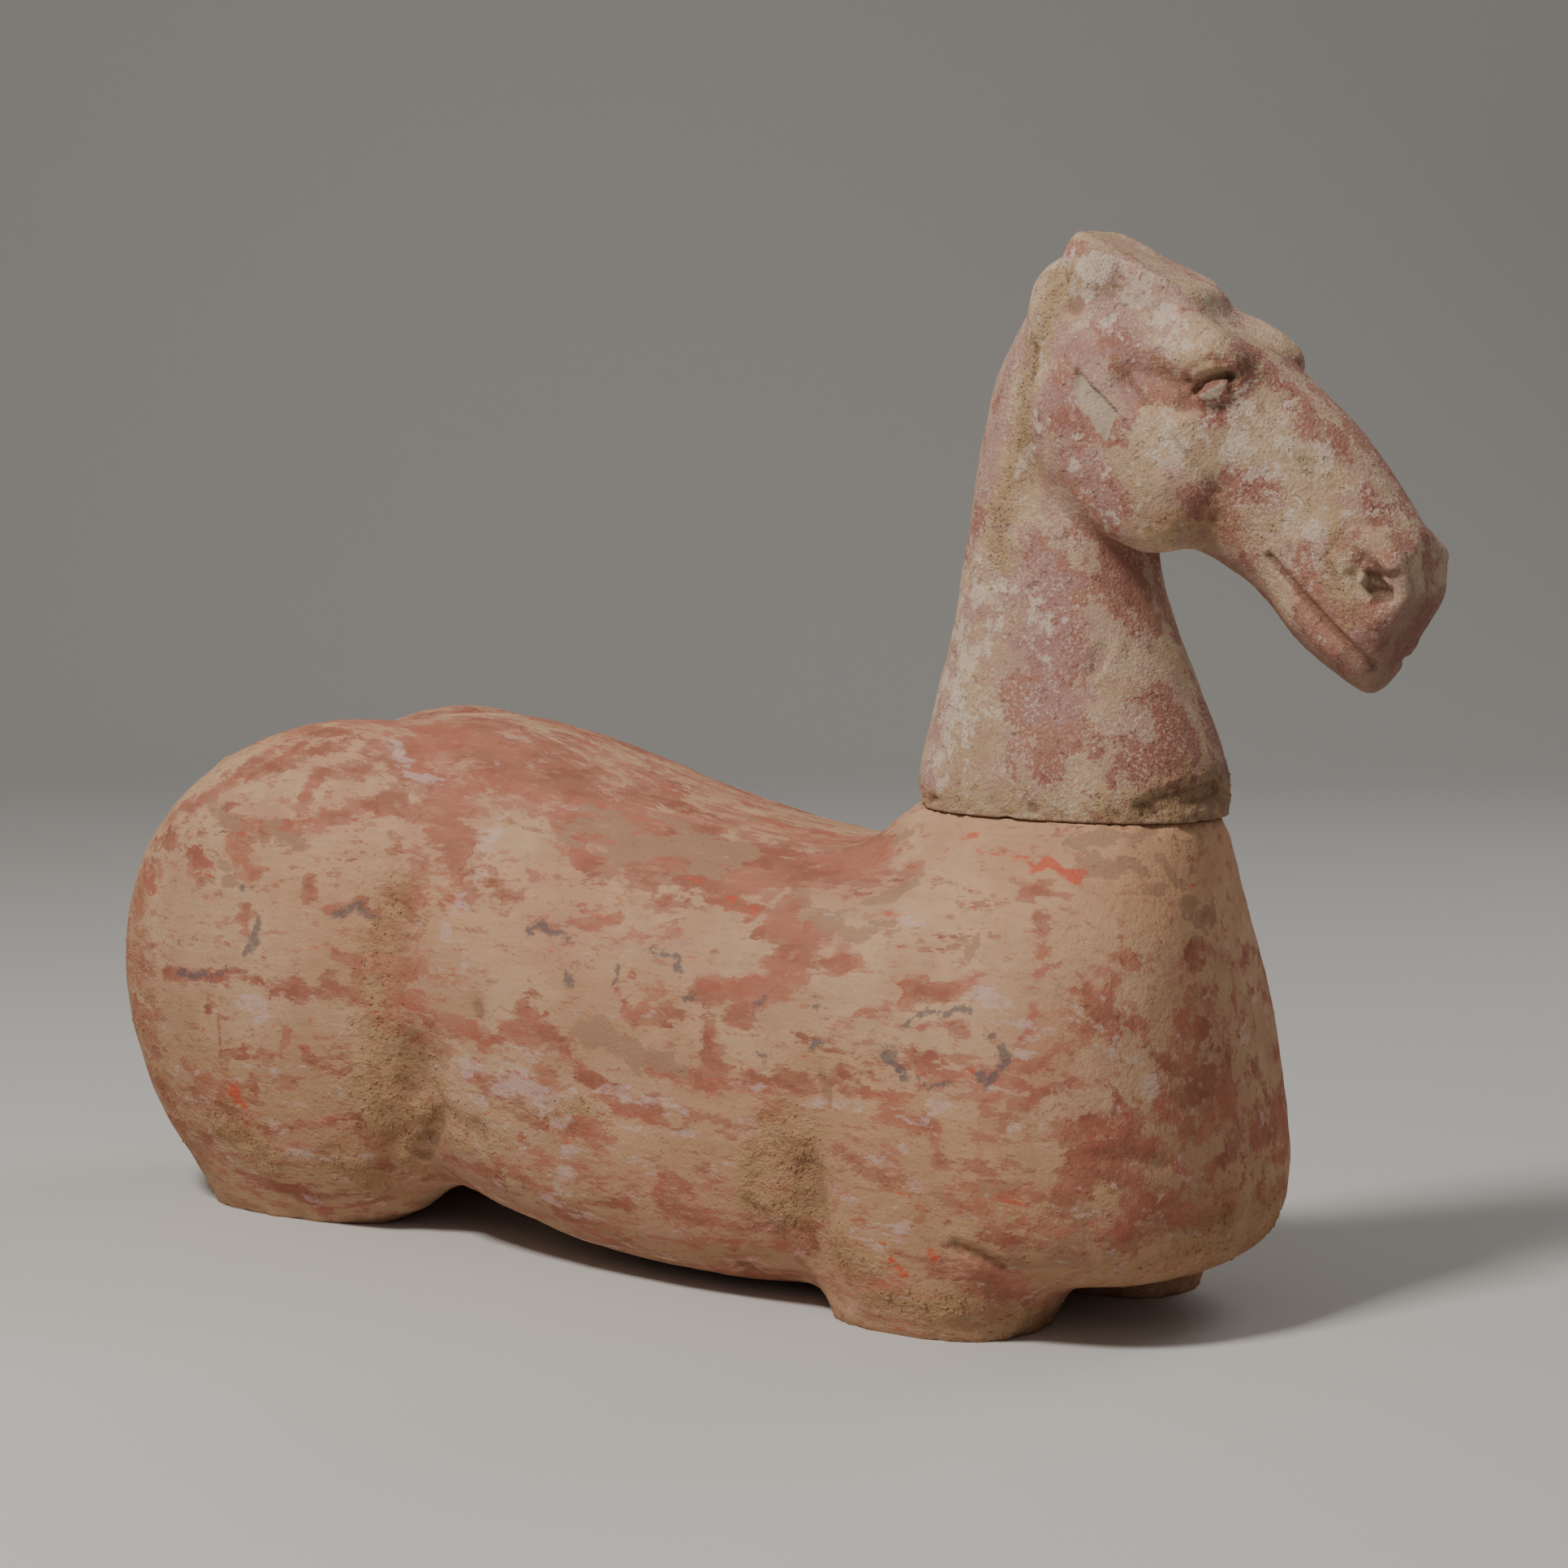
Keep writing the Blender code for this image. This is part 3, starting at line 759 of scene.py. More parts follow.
TORSO_BRIGHT_RED = [
    (4.2, 0.62, [(161, 219), (185, 219), (199, 217)]),
    (3.3, 1.0, [(206, 217), (210, 223), (218, 217), (229, 216)]),
    (2.7, 1.0, [(155, 46), (160, 38), (167, 33)]),
    (2.4, 0.8, [(181, 43), (183, 41)]),
    (1.8, 0.8, [(157, 65), (169, 65)]),
    (2.4, 0.7, [(48, 191), (63, 190)]),
    (2.9, 0.85, [(-255, 65), (-248, 60)]),
    (2.7, 0.6, [(267, 211), (267, 203)]),
]
TORSO_SOOT = [
    (2.4, 1.0, [(169, 149), (181, 150), (194, 153)]),
    (2.4, 0.9, [(159, 142), (164, 144)]),
    (3.0, 0.9, [(153, 131), (157, 127), (161, 122)]),
    (1.5, 0.7, [(200, 147), (207, 147)]),
    (4.2, 0.9, [(212, 140), (213, 134), (209, 128), (204, 124)]),
    (2.1, 0.8, [(171, 125), (176, 120), (185, 120)]),
    (1.8, 0.8, [(89, 154), (78, 146), (77, 140)]),
    (2.1, 0.8, [(105, 155), (111, 153)]),
    (1.8, 0.8, [(114, 147), (120, 144)]),
    (1.8, 0.8, [(119, 134), (111, 129)]),
    (1.5, 0.7, [(85, 122), (99, 122)]),
    (2.2, 0.7, [(-244, 175), (-236, 175)]),
    (2.5, 0.8, [(-235, 167), (-231, 155), (-237, 139)]),
    (2.5, 0.9, [(-181, 170), (-158, 170)]),
    (2.5, 0.9, [(-292, 125), (-275, 128), (-255, 132)]),
    (2.5, 0.8, [(-58, 168), (-39, 167), (-33, 162)]),
    (2.2, 0.8, [(-34, 149), (-27, 148)]),
    (2.5, 0.8, [(-5, 153), (2, 160)]),
    (2.5, 0.8, [(19, 163), (28, 161), (38, 156)]),
    (2.2, 0.8, [(40, 145), (46, 144)]),
]
TORSO_EARTH = [
    (20.0, 0.6, [(-147, 178), (-154, 153), (-156, 131), (-154, 106), (-148, 86)]),
    (20.0, 0.95, [(-160, 77), (-138, 69), (-154, 54)]),
    (14.5, 0.8, [(-191, 40), (-172, 31)]),
    (14.5, 0.75, [(-267, 47), (-240, 37)]),
    (14.5, 0.6, [(-130, 100), (-115, 75), (-81, 64)]),
    (16.4, 0.9, [(98, 90), (103, 77), (107, 61)]),
    (10.9, 0.9, [(81, 77), (78, 60), (100, 47)]),
    (10.9, 0.55, [(-46, 83), (-14, 87)]),
    (9.1, 0.85, [(125, 37), (145, 33)]),
    (8.5, 0.85, [(146, 17), (171, 15), (192, 13), (204, 8)]),
    (7.3, 0.7, [(282, 62), (283, 51)]),
    (6.7, 0.75, [(266, 39), (281, 43)]),
    (9.1, 0.55, [(231, 29), (266, 39)]),
    (21.8, 0.45, [(-333, 144), (-331, 92), (-304, 36)]),
]
TORSO_ROUGH = [(90, 1.0, [(-330, 40), (-150, 30), (0, 20), (150, 20), (290, 20)])]
TORSO_UPRIGHT = [(80, 1.0, [(215, 60), (235, 120), (265, 190)])]
RING_DABS = 6


def paint_torso():
    """Lay the broad places of each colour on the torso. The ring of soot dabs is on the right side only."""
    points = points_of(torso)
    places = warped(points)
    for name, strokes, right_only, shift, fade in (
        ("red", TORSO_RED, 0, 14, 0.9),
        ("brown", TORSO_BROWN, 0, -22, 0.9),
        ("lilac", TORSO_LILAC, 0, 30, 0.9),
        ("bright red", TORSO_BRIGHT_RED, 0, -26, 0.8),
        ("soot", TORSO_SOOT, RING_DABS, -34, 0.7),
        ("earth", TORSO_EARTH, 0, 0, 1.0),
        ("rough", TORSO_ROUGH, 0, 0, 1.0),
        ("upright", TORSO_UPRIGHT, 0, 0, 1.0),
    ):
        left = mirrored(strokes[right_only:], shift, fade)
        keep(torso, name, both_sides(points, places, strokes, left))


paint_torso()

# %% Paint on the head and neck
HEAD_RED = [
    (16, 0.62, [(226, 448), (208, 436), (206, 418), (222, 408), (236, 414)]),
    (16, 0.60, [(240, 436), (256, 434), (270, 428), (286, 428)]),
    (16, 0.60, [(284, 384), (300, 384)]),
    (18, 0.60, [(272, 380), (282, 368), (300, 350)]),
    (13, 0.62, [(312, 356), (330, 336), (348, 322), (352, 330)]),
    (20, 0.50, [(300, 446), (322, 420), (346, 390), (368, 360)]),
    (16, 0.50, [(338, 362), (352, 376), (362, 350)]),
    (24, 0.62, [(212, 372), (224, 356), (234, 330)]),
    (24, 0.74, [(195, 346), (206, 316), (195, 286), (204, 262)]),
    (12, 0.68, [(289, 446), (310, 428), (327, 408), (346, 386)]),
    (15, 0.72, [(216, 396), (236, 373)]),
    (9, 0.80, [(284, 393), (297, 388)]),
    (16, 0.60, [(248, 292), (256, 264)]),
    (18, 0.62, [(238, 270), (252, 258), (262, 280)]),
    (20, 0.42, [(136, 268), (140, 250)]),
    (16, 0.42, [(168, 440), (158, 400), (150, 350)]),
    (12, 0.62, [(306, 352), (324, 334), (344, 314)]),
    (10, 0.56, [(318, 326), (336, 308)]),
    (12, 0.45, [(206, 490), (236, 478), (262, 462)]),
    (40, 0.30, [(230, 300), (240, 250)]),
]
HEAD_LILAC = [
    (26, 0.60, [(230, 466), (244, 452), (226, 440)]),
    (22, 0.60, [(200, 420), (206, 396), (226, 384)]),
    (26, 0.62, [(190, 344), (196, 320), (204, 290)]),
    (22, 0.50, [(150, 330), (142, 300), (134, 262)]),
    (18, 0.50, [(176, 460), (166, 430), (160, 400)]),
    (20, 0.45, [(256, 372), (236, 376)]),
    (16, 0.42, [(320, 352), (336, 360)]),
    (14, 0.50, [(344, 322), (360, 324)]),
    (30, 0.36, [(160, 380), (170, 300)]),
]
HEAD_PALE = [
    (20, 0.62, [(208, 478), (236, 470), (258, 458)]),
    (22, 0.50, [(290, 408), (310, 398), (328, 374)]),
    (26, 0.55, [(160, 330), (150, 296), (146, 262)]),
    (14, 0.60, [(192, 452), (190, 426), (188, 404)]),
    (16, 0.50, [(198, 322), (178, 330)]),
    (20, 0.42, [(216, 400), (232, 392)]),
    (24, 0.40, [(262, 404), (284, 416)]),
]
HEAD_BROWN = [
    (22, 0.42, [(246, 398), (262, 380)]),
    (20, 0.42, [(300, 424), (330, 396)]),
    (18, 0.45, [(352, 366), (360, 344)]),
]
HEAD_EARTH = [
    (9, 0.95, [(199, 476), (193, 462), (187, 446), (184, 422), (180, 404)]),
    (9, 0.75, [(180, 404), (171, 377), (167, 355)]),
    (11, 0.50, [(264, 446), (276, 443), (286, 440)]),
    (14, 0.50, [(278, 372), (268, 366), (250, 370)]),
    (13, 0.62, [(334, 366), (334, 350), (340, 338)]),
    (16, 0.70, [(240, 240), (262, 246)]),
    (12, 0.45, [(130, 242), (170, 238), (210, 240)]),
    (14, 0.40, [(286, 372), (300, 366)]),
]
LEVEL_LOSS = 0.7
LEVEL_RANGE = (0.70, 0.88)
MUZZLE_LEAN = 0.2
MUZZLE_FRONT = (66, 70)
MUZZLE_UNDER = (20, 50)
FACING_DOWN = (0.1, 0.7)


def paint_head():
    """Lay the broad places of each colour on the neck and head."""
    points = points_of(head)
    places = warped(points)
    sloping = 1 - LEVEL_LOSS * blend_between(normals_of(head)[:, 2], *LEVEL_RANGE)
    for name, strokes, shift, fade in (
        ("red", HEAD_RED, 6, 0.95),
        ("lilac", HEAD_LILAC, -8, 0.95),
        ("pale", HEAD_PALE, 7, 0.95),
        ("brown", HEAD_BROWN, -6, 0.9),
        ("earth", HEAD_EARTH, 0, 0.9),
    ):
        strength = both_sides(points, places, strokes, mirrored(strokes, shift, fade))
        keep(head, name, strength * sloping if name in ("lilac", "pale") else strength)
    keep(head, "bare", bare_clay)
    keep(head, "shaded_opening", shaded_openings)
    # The muzzle mask: the end of the muzzle, and faces turned down under the head, where the finish paints
    # shade with the brown.
    ahead = in_head_axes(points)
    front = blend_between(ahead[:, 0] - MUZZLE_LEAN * ahead[:, 2], *MUZZLE_FRONT)
    under = blend_between(-normals_of(head)[:, 2], *FACING_DOWN) * blend_between(ahead[:, 0], *MUZZLE_UNDER)
    keep(head, "muzzle", np.maximum(front, under))


paint_head()

# %% [markdown]
# Burial dirt lies in hollows, and ridges are rubbed bare. Here only the hollows are painted darker, partly as
# that dirt and partly as painted shade. How hollow each place is can be read from the skin itself: a point
# that lies below the relaxed surface round it is in a hollow.


# %% Hollows and flats
BOX_MARGIN = 0.0025
CUT_FADE = 0.005


def keep_hollows(obj, node, rounds, reach, levels):
    """Keep how hollow each place is, and how free it is to be roughened without leaving its solid's box."""
    points = points_of(obj)
    smoothed = relax(points, edges_of(obj), rounds, np.ones(len(points)))
    depth = np.einsum("ij,ij->i", smoothed - points, normals_of(obj)) / reach
    keep(obj, "hollow", np.clip(depth, -1, 1))
    free = np.ones(len(points))
    for level in levels:
        free *= blend_between(np.abs(points[:, 2] - level), FLAT_MARGIN, CUT_FADE)
    low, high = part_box(node)
    room = np.minimum(points - list(low), np.array(list(high)) - points).min(axis=1)
    keep(obj, "free", free)
    keep(obj, "room", blend_between(room, 0.5 * BOX_MARGIN, BOX_MARGIN))


keep_hollows(torso, "horse_torso", 30, 0.0011, (0.0, stump_level))
keep_hollows(head, "head_and_neck", 24, 0.0007, (seat_level,))

# %% [markdown]
# ## Shader groups
#
# Two effects serve both pieces, so each is a node group with named inputs. "flaked edge" turns a broad
# stroke into ragged islands: it adds a fractal noise to the stroke's strength and keeps what stands above a
# threshold. "clay surface" gives the fine unevenness of wiped clay, as a tint and as a height for the bump.


# %% Node helpers
def colour(red, green, blue):
    """A colour from its screen values, 0 to 255, as Blender's linear one."""
    parts = []
    for value in (red, green, blue):
        share = value / 255
        parts.append(share / 12.92 if share <= 0.04045 else ((share + 0.055) / 1.055) ** 2.4)
    return (*parts, 1.0)


def new_group(name, inputs, outputs):
    """An empty shader group with its sockets, and its two end nodes."""
    group = bpy.data.node_groups.new(name, "ShaderNodeTree")
    for title, kind, value in inputs:
        socket = group.interface.new_socket(title, in_out="INPUT", socket_type=kind)
        if value is not None:
            socket.default_value = value
    for title, kind in outputs:
        group.interface.new_socket(title, in_out="OUTPUT", socket_type=kind)
    return group, group.nodes.new("NodeGroupInput"), group.nodes.new("NodeGroupOutput")


def feed(tree, socket, source):
    """Fill an input from another node's socket, or with a plain value."""
    if isinstance(source, bpy.types.NodeSocket):
        tree.links.new(source, socket)
    else:
        socket.default_value = source


def put(tree, kind, *sources, **settings):
    """A node with its settings, its inputs filled in order from sockets or plain values."""
    node = tree.nodes.new(kind)
    for name, value in settings.items():
        setattr(node, name, value)
    for socket, source in zip(node.inputs, sources):
        feed(tree, socket, source)
    return node


def maths(tree, operation, first, second):
    """One step of arithmetic."""
    return put(tree, "ShaderNodeMath", first, second, operation=operation).outputs[0]


def mix_colours(tree, share, under, over):
    """The colour over laid on the colour under, as thick as the share."""
    node = tree.nodes.new("ShaderNodeMix")
    node.data_type = "RGBA"
    for name, source in (("Factor_Float", share), ("A_Color", under), ("B_Color", over)):
        feed(tree, next(s for s in node.inputs if s.identifier == name), source)
    return next(s for s in node.outputs if s.identifier == "Result_Color")


def fractal(tree, place, size, detail=3.0, roughness=0.6):
    """Fractal noise from 0 to 1, its coarsest lumps of about that size in metres."""
    node = tree.nodes.new("ShaderNodeTexNoise")
    node.inputs["Detail"].default_value = detail
    node.inputs["Roughness"].default_value = roughness
    tree.links.new(place, node.inputs["Vector"])
    if isinstance(size, bpy.types.NodeSocket):
        tree.links.new(maths(tree, "DIVIDE", 1.0, size), node.inputs["Scale"])
    else:
        node.inputs["Scale"].default_value = 1.0 / size
    return node.outputs[0]


def step_between(tree, value, low, high):
    """0 below low, 1 above high, and a soft step between."""
    node = tree.nodes.new("ShaderNodeMapRange")
    node.interpolation_type = "SMOOTHSTEP"
    for name, source in (("Value", value), ("From Min", low), ("From Max", high)):
        feed(tree, node.inputs[name], source)
    return node.outputs["Result"]


# %% Flaked edge
def build_flaked_edge():
    """Region and noise in, a mask of ragged islands out."""
    inputs = (
        ("Region", "NodeSocketFloat", 0.5),
        ("Place", "NodeSocketVector", None),
        ("Flake Size", "NodeSocketFloat", 0.03),
        ("Raggedness", "NodeSocketFloat", 1.4),
        ("Softness", "NodeSocketFloat", 0.03),
        ("Loss", "NodeSocketFloat", 0.5),
    )
    tree, start, end = new_group("flaked edge", inputs, (("Mask", "NodeSocketFloat"),))
    lump = fractal(tree, start.outputs["Place"], start.outputs["Flake Size"], 6.0, 0.72)
    swing = maths(tree, "MULTIPLY", maths(tree, "SUBTRACT", lump, 0.5), start.outputs["Raggedness"])
    total = maths(tree, "ADD", start.outputs["Region"], swing)
    low = maths(tree, "SUBTRACT", start.outputs["Loss"], start.outputs["Softness"])
    high = maths(tree, "ADD", start.outputs["Loss"], start.outputs["Softness"])
    tree.links.new(step_between(tree, total, low, high), end.inputs["Mask"])
    return tree


flaked_edge = build_flaked_edge()


# %% Clay surface
def build_clay_surface():
    """The tint and height of wiped clay: grain, pits, and granules that break the surface like fish scale."""
    inputs = (
        ("Place", "NodeSocketVector", None),
        ("Grain Size", "NodeSocketFloat", 0.002),
        ("Pit Size", "NodeSocketFloat", 0.006),
        ("Pit Depth", "NodeSocketFloat", 0.5),
        ("Granules", "NodeSocketFloat", 0.0),
    )
    outputs = (("Tint", "NodeSocketFloat"), ("Height", "NodeSocketFloat"), ("Pits", "NodeSocketFloat"))
    tree, start, end = new_group("clay surface", inputs, outputs)
    place = start.outputs["Place"]
    grain = fractal(tree, place, start.outputs["Grain Size"], 3.0, 0.7)
    pits = fractal(tree, place, start.outputs["Pit Size"], 4.0, 0.6)
    pit = maths(tree, "MULTIPLY", step_between(tree, pits, 0.60, 0.70), start.outputs["Pit Depth"])
    scale = tree.nodes.new("ShaderNodeTexVoronoi")
    tree.links.new(place, scale.inputs["Vector"])
    tree.links.new(maths(tree, "DIVIDE", 0.9, start.outputs["Grain Size"]), scale.inputs["Scale"])
    granule = maths(tree, "MULTIPLY", scale.outputs["Distance"], start.outputs["Granules"])
    height = maths(tree, "SUBTRACT", maths(tree, "SUBTRACT", grain, pit), granule)
    tree.links.new(height, end.inputs["Height"])
    broad = fractal(tree, place, maths(tree, "MULTIPLY", start.outputs["Grain Size"], 24.0))
    tree.links.new(broad, end.inputs["Tint"])
    # The pits and granule edges: the finishes darken them, as painted shade with some dirt.
    tree.links.new(maths(tree, "ADD", pit, maths(tree, "MULTIPLY", granule, 0.6)), end.inputs["Pits"])
    return tree


clay_surface = build_clay_surface()
print("groups:", [group.name for group in bpy.data.node_groups])

# %% [markdown]
# ## The two finishes
#
# Both materials are built the way the horse was: slip below, paint on the slip, and the dirt of the burial
# on top. Each layer is mixed over the last one by its flaked mask. Some layers are painted shade: with some
# dirt in the hollows and pits, alone in the nostrils and the eye slits, and with the brown paint on the end
# and the undersides of the muzzle. The grain of the clay and the caked earth also give the bump its height,
# and the paint is too thin to add to it.


# %% Layering
def object_place(tree, stretch):
    """Places on the piece in metres. A stretch below 1 draws patterns out along that axis."""
    source = tree.nodes.new("ShaderNodeTexCoord")
    mapping = tree.nodes.new("ShaderNodeMapping")
    mapping.inputs["Scale"].default_value = stretch
    tree.links.new(source.outputs["Object"], mapping.inputs["Vector"])
    return mapping.outputs["Vector"]


def stored(tree, name):
    """A value that was kept on the skin."""
    node = tree.nodes.new("ShaderNodeAttribute")
    node.attribute_name = name
    return node.outputs["Fac"]


def flakes(tree, *values):
    """The mask of one flaked layer, from its region, place, flake size, raggedness, softness and loss."""
    return put(tree, "ShaderNodeGroup", *values, node_tree=flaked_edge).outputs["Mask"]


def surface(tree, *values):
    """The tint, height and pits of clay, from its place, grain size, pit size, pit depth and granules."""
    return put(tree, "ShaderNodeGroup", *values, node_tree=clay_surface).outputs[:]


def lay(tree, shade, mask, strength, over):
    """A layer of colour over the last ones, as thick as its mask times its strength."""
    return mix_colours(tree, maths(tree, "MULTIPLY", mask, strength), shade, over)


def lay_flakes(tree, shade, rows):
    """Flaked layers over the last ones, in order. Gives the colour, and the mask of the top layer."""
    for *values, strength, over in rows:
        mask = flakes(tree, *values)
        shade = lay(tree, shade, mask, strength, over)
    return shade, mask


def at_least(tree, value, least):
    """The value, but never below the least."""
    return maths(tree, "MAXIMUM", value, least)


def new_finish(name):
    """A material with its tree and shader."""
    material = bpy.data.materials.new(name)
    material.use_nodes = True
    tree = material.node_tree
    shader = tree.nodes["Principled BSDF"]
    shader.inputs["Specular IOR Level"].default_value = 0.25
    return material, tree, shader


def finish_surface(tree, shader, shade, height, rough, depth):
    """Send the colour, the height and the roughness to the shader."""
    tree.links.new(shade, shader.inputs["Base Color"])
    bump = tree.nodes.new("ShaderNodeBump")
    bump.inputs["Distance"].default_value = depth
    tree.links.new(height, bump.inputs["Height"])
    tree.links.new(bump.outputs["Normal"], shader.inputs["Normal"])
    tree.links.new(rough, shader.inputs["Roughness"])


# %% Finish of the torso
SLIP_LIGHT = colour(204, 166, 133)
SLIP_DARK = colour(188, 148, 117)
SLIP_WARM = colour(201, 148, 111)
SLIP_SHADOW = colour(156, 124, 94)
RED_OCHRE = colour(172, 104, 84)
RED_DEEP = colour(150, 92, 74)
RED_WASH = colour(189, 138, 115)
BROWN_CLAY = colour(164, 128, 102)
BRIGHT_RED = colour(204, 78, 54)
LILAC_WHITE = colour(206, 176, 168)
SOOT_GREY = colour(94, 90, 94)
BURIAL_EARTH = colour(174, 136, 98)
# Dark brown for the hollows and pits: partly burial dirt, partly painted shade.
DIRT_AND_SHADE = colour(112, 80, 58)


def torso_finish():
    """Cream slip with long wiping streaks, red ochre in flaked bands, and earth in the grooves."""
    material, tree, shader = new_finish("torso finish")
    even = object_place(tree, (1.0, 1.0, 1.0))
    long = object_place(tree, (0.34, 1.0, 1.0))
    streaky = object_place(tree, (0.08, 1.0, 1.0))
    upright = object_place(tree, (1.0, 1.0, 0.30))
    rough_zone = stored(tree, "rough")
    tint, height, pits = surface(tree, even, 0.0022, 0.008, 0.45, 0.15)
    streaks = fractal(tree, streaky, 0.0040, 4.0, 0.6)
    warm = fractal(tree, long, 0.09, 3.0, 0.5)
    red_tint = fractal(tree, long, 0.022, 4.0, 0.6)
    red_colour = mix_colours(tree, step_between(tree, red_tint, 0.42, 0.60), RED_OCHRE, RED_DEEP)

    shade = mix_colours(tree, step_between(tree, tint, 0.35, 0.65), SLIP_DARK, SLIP_LIGHT)
    shade = lay(tree, shade, step_between(tree, warm, 0.45, 0.65), 0.35, SLIP_WARM)
    shade = lay(tree, shade, step_between(tree, streaks, 0.48, 0.64), 0.18, SLIP_SHADOW)
    shade = lay(tree, shade, rough_zone, 0.40, SLIP_SHADOW)

    region = at_least(tree, stored(tree, "red"), maths(tree, "MULTIPLY", rough_zone, 0.22))
    washes = (
        (region, long, 0.040, 3.6, 0.22, 0.50, 0.55, RED_WASH),
        (stored(tree, "upright"), upright, 0.024, 5.0, 0.16, 1.62, 0.30, RED_OCHRE),
    )
    shade, _ = lay_flakes(tree, shade, washes)
    thin = step_between(tree, fractal(tree, even, 0.018, 4.0, 0.65), 0.62, 0.40)
    red = flakes(tree, region, long, 0.013, 5.6, 0.07, 0.65)
    shade = lay(tree, shade, maths(tree, "MULTIPLY", red, at_least(tree, thin, 0.62)), 0.90, red_colour)
    pale_region = at_least(tree, stored(tree, "lilac"), maths(tree, "MULTIPLY", rough_zone, 0.20))
    layers = (
        (at_least(tree, region, 0.20), long, 0.0052, 5.4, 0.12, 0.66, 0.55, red_colour),
        (rough_zone, streaky, 0.006, 4.4, 0.16, 1.45, 0.50, red_colour),
        (stored(tree, "brown"), long, 0.018, 3.6, 0.05, 0.66, 0.80, BROWN_CLAY),
        (pale_region, long, 0.009, 5.2, 0.20, 0.78, 0.55, LILAC_WHITE),
        (stored(tree, "bright red"), long, 0.008, 4.2, 0.22, 0.70, 0.72, BRIGHT_RED),
        (stored(tree, "soot"), even, 0.005, 3.0, 0.20, 0.62, 0.70, SOOT_GREY),
        (stored(tree, "earth"), even, 0.010, 3.0, 0.30, 0.52, 0.52, BURIAL_EARTH),
    )
    shade, earth = lay_flakes(tree, shade, layers)
    # Painted shade with some dirt: the hollows and the pits are darkened.
    shade = lay(tree, shade, step_between(tree, stored(tree, "hollow"), 0.15, 0.9), 0.40, DIRT_AND_SHADE)
    shade = lay(tree, shade, pits, 0.30, DIRT_AND_SHADE)

    caked = fractal(tree, even, 0.0035, 3.0, 0.7)
    caking = maths(tree, "ADD", maths(tree, "MULTIPLY", stored(tree, "earth"), 4.0), rough_zone)
    crust = maths(tree, "MULTIPLY", caked, caking)
    relief = maths(tree, "ADD", maths(tree, "ADD", height, crust), maths(tree, "MULTIPLY", streaks, 0.4))
    rough = step_between(tree, maths(tree, "ADD", earth, rough_zone), -2.6, 1.2)
    finish_surface(tree, shader, shade, relief, rough, 0.0006)
    return material


# %% Finish of the head and neck
NECK_BUFF = colour(204, 176, 146)
NECK_DARK = colour(182, 150, 120)
PURPLE_RED = colour(152, 98, 86)
DUSTY_RED = colour(168, 116, 98)
LILAC = colour(174, 134, 128)
PALE_CRUST = colour(220, 203, 186)
OLIVE_CLAY = colour(172, 150, 120)
BARE_GREY = colour(184, 170, 150)
# Brown paint on the muzzle, also laid as painted shade on its end and on the faces turned down.
MUZZLE_BROWN_AND_SHADE = colour(128, 90, 78)
CRUST_EARTH = colour(188, 156, 118)
# Painted shade inside the nostrils and the eye slits.
OPENING_SHADE = colour(84, 60, 48)


def head_finish():
    """A rougher, more weathered surface, with lilac and pale remains over the red."""
    material, tree, shader = new_finish("head finish")
    even = object_place(tree, (1.0, 1.0, 1.0))
    tint, height, pits = surface(tree, even, 0.0016, 0.0050, 0.60, 0.25)
    broken = fractal(tree, even, 0.0030, 4.0, 0.70)
    red_colour = mix_colours(tree, step_between(tree, tint, 0.40, 0.60), PURPLE_RED, DUSTY_RED)
    shade = mix_colours(tree, step_between(tree, tint, 0.35, 0.65), NECK_DARK, NECK_BUFF)
    region = stored(tree, "red")
    layers = (
        (region, even, 0.034, 2.0, 0.18, 0.40, 0.50, LILAC),
        (region, even, 0.022, 2.8, 0.05, 0.54, 0.88, red_colour),
        (stored(tree, "lilac"), even, 0.014, 3.0, 0.12, 0.54, 0.66, LILAC),
        (stored(tree, "brown"), even, 0.018, 2.8, 0.06, 0.58, 0.62, OLIVE_CLAY),
        (stored(tree, "pale"), even, 0.011, 4.2, 0.10, 0.64, 0.62, PALE_CRUST),
    )
    shade, _ = lay_flakes(tree, shade, layers)
    fine = fractal(tree, even, 0.0017, 3.0, 0.7)
    dusted = step_between(tree, fractal(tree, even, 0.026), 0.36, 0.58)
    dust = maths(tree, "MULTIPLY", step_between(tree, fine, 0.53, 0.61), at_least(tree, dusted, 0.15))
    shade = lay(tree, shade, dust, 0.50, PALE_CRUST)
    shade = lay(tree, shade, step_between(tree, fine, 0.44, 0.36), 0.32, PURPLE_RED)
    layers = (
        # The muzzle layer: brown paint and painted shade on the end of the muzzle and under the head.
        (stored(tree, "muzzle"), even, 0.012, 1.4, 0.30, 0.45, 0.62, MUZZLE_BROWN_AND_SHADE),
        (stored(tree, "earth"), even, 0.006, 3.6, 0.20, 0.60, 0.72, CRUST_EARTH),
    )
    shade, earth = lay_flakes(tree, shade, layers)
    # Painted shade with some dirt: the hollows and the pits are darkened.
    shade = lay(tree, shade, step_between(tree, stored(tree, "hollow"), 0.10, 0.9), 0.50, DIRT_AND_SHADE)
    shade = lay(tree, shade, pits, 0.40, DIRT_AND_SHADE)
    bare = flakes(tree, stored(tree, "bare"), even, 0.004, 1.8, 0.20, 0.45)
    shade = lay(tree, shade, bare, 0.72, BARE_GREY)
    # Painted shade in the nostrils and the eye slits.
    shade = lay(tree, shade, stored(tree, "shaded_opening"), 0.42, OPENING_SHADE)
    caked = maths(tree, "MULTIPLY", maths(tree, "MULTIPLY", broken, stored(tree, "earth")), 3.0)
    relief = maths(tree, "ADD", maths(tree, "ADD", height, caked), maths(tree, "MULTIPLY", broken, 0.7))
    rough = step_between(tree, maths(tree, "ADD", earth, 0.9), -0.6, 1.6)
    finish_surface(tree, shader, shade, relief, rough, 0.0009)
    return material


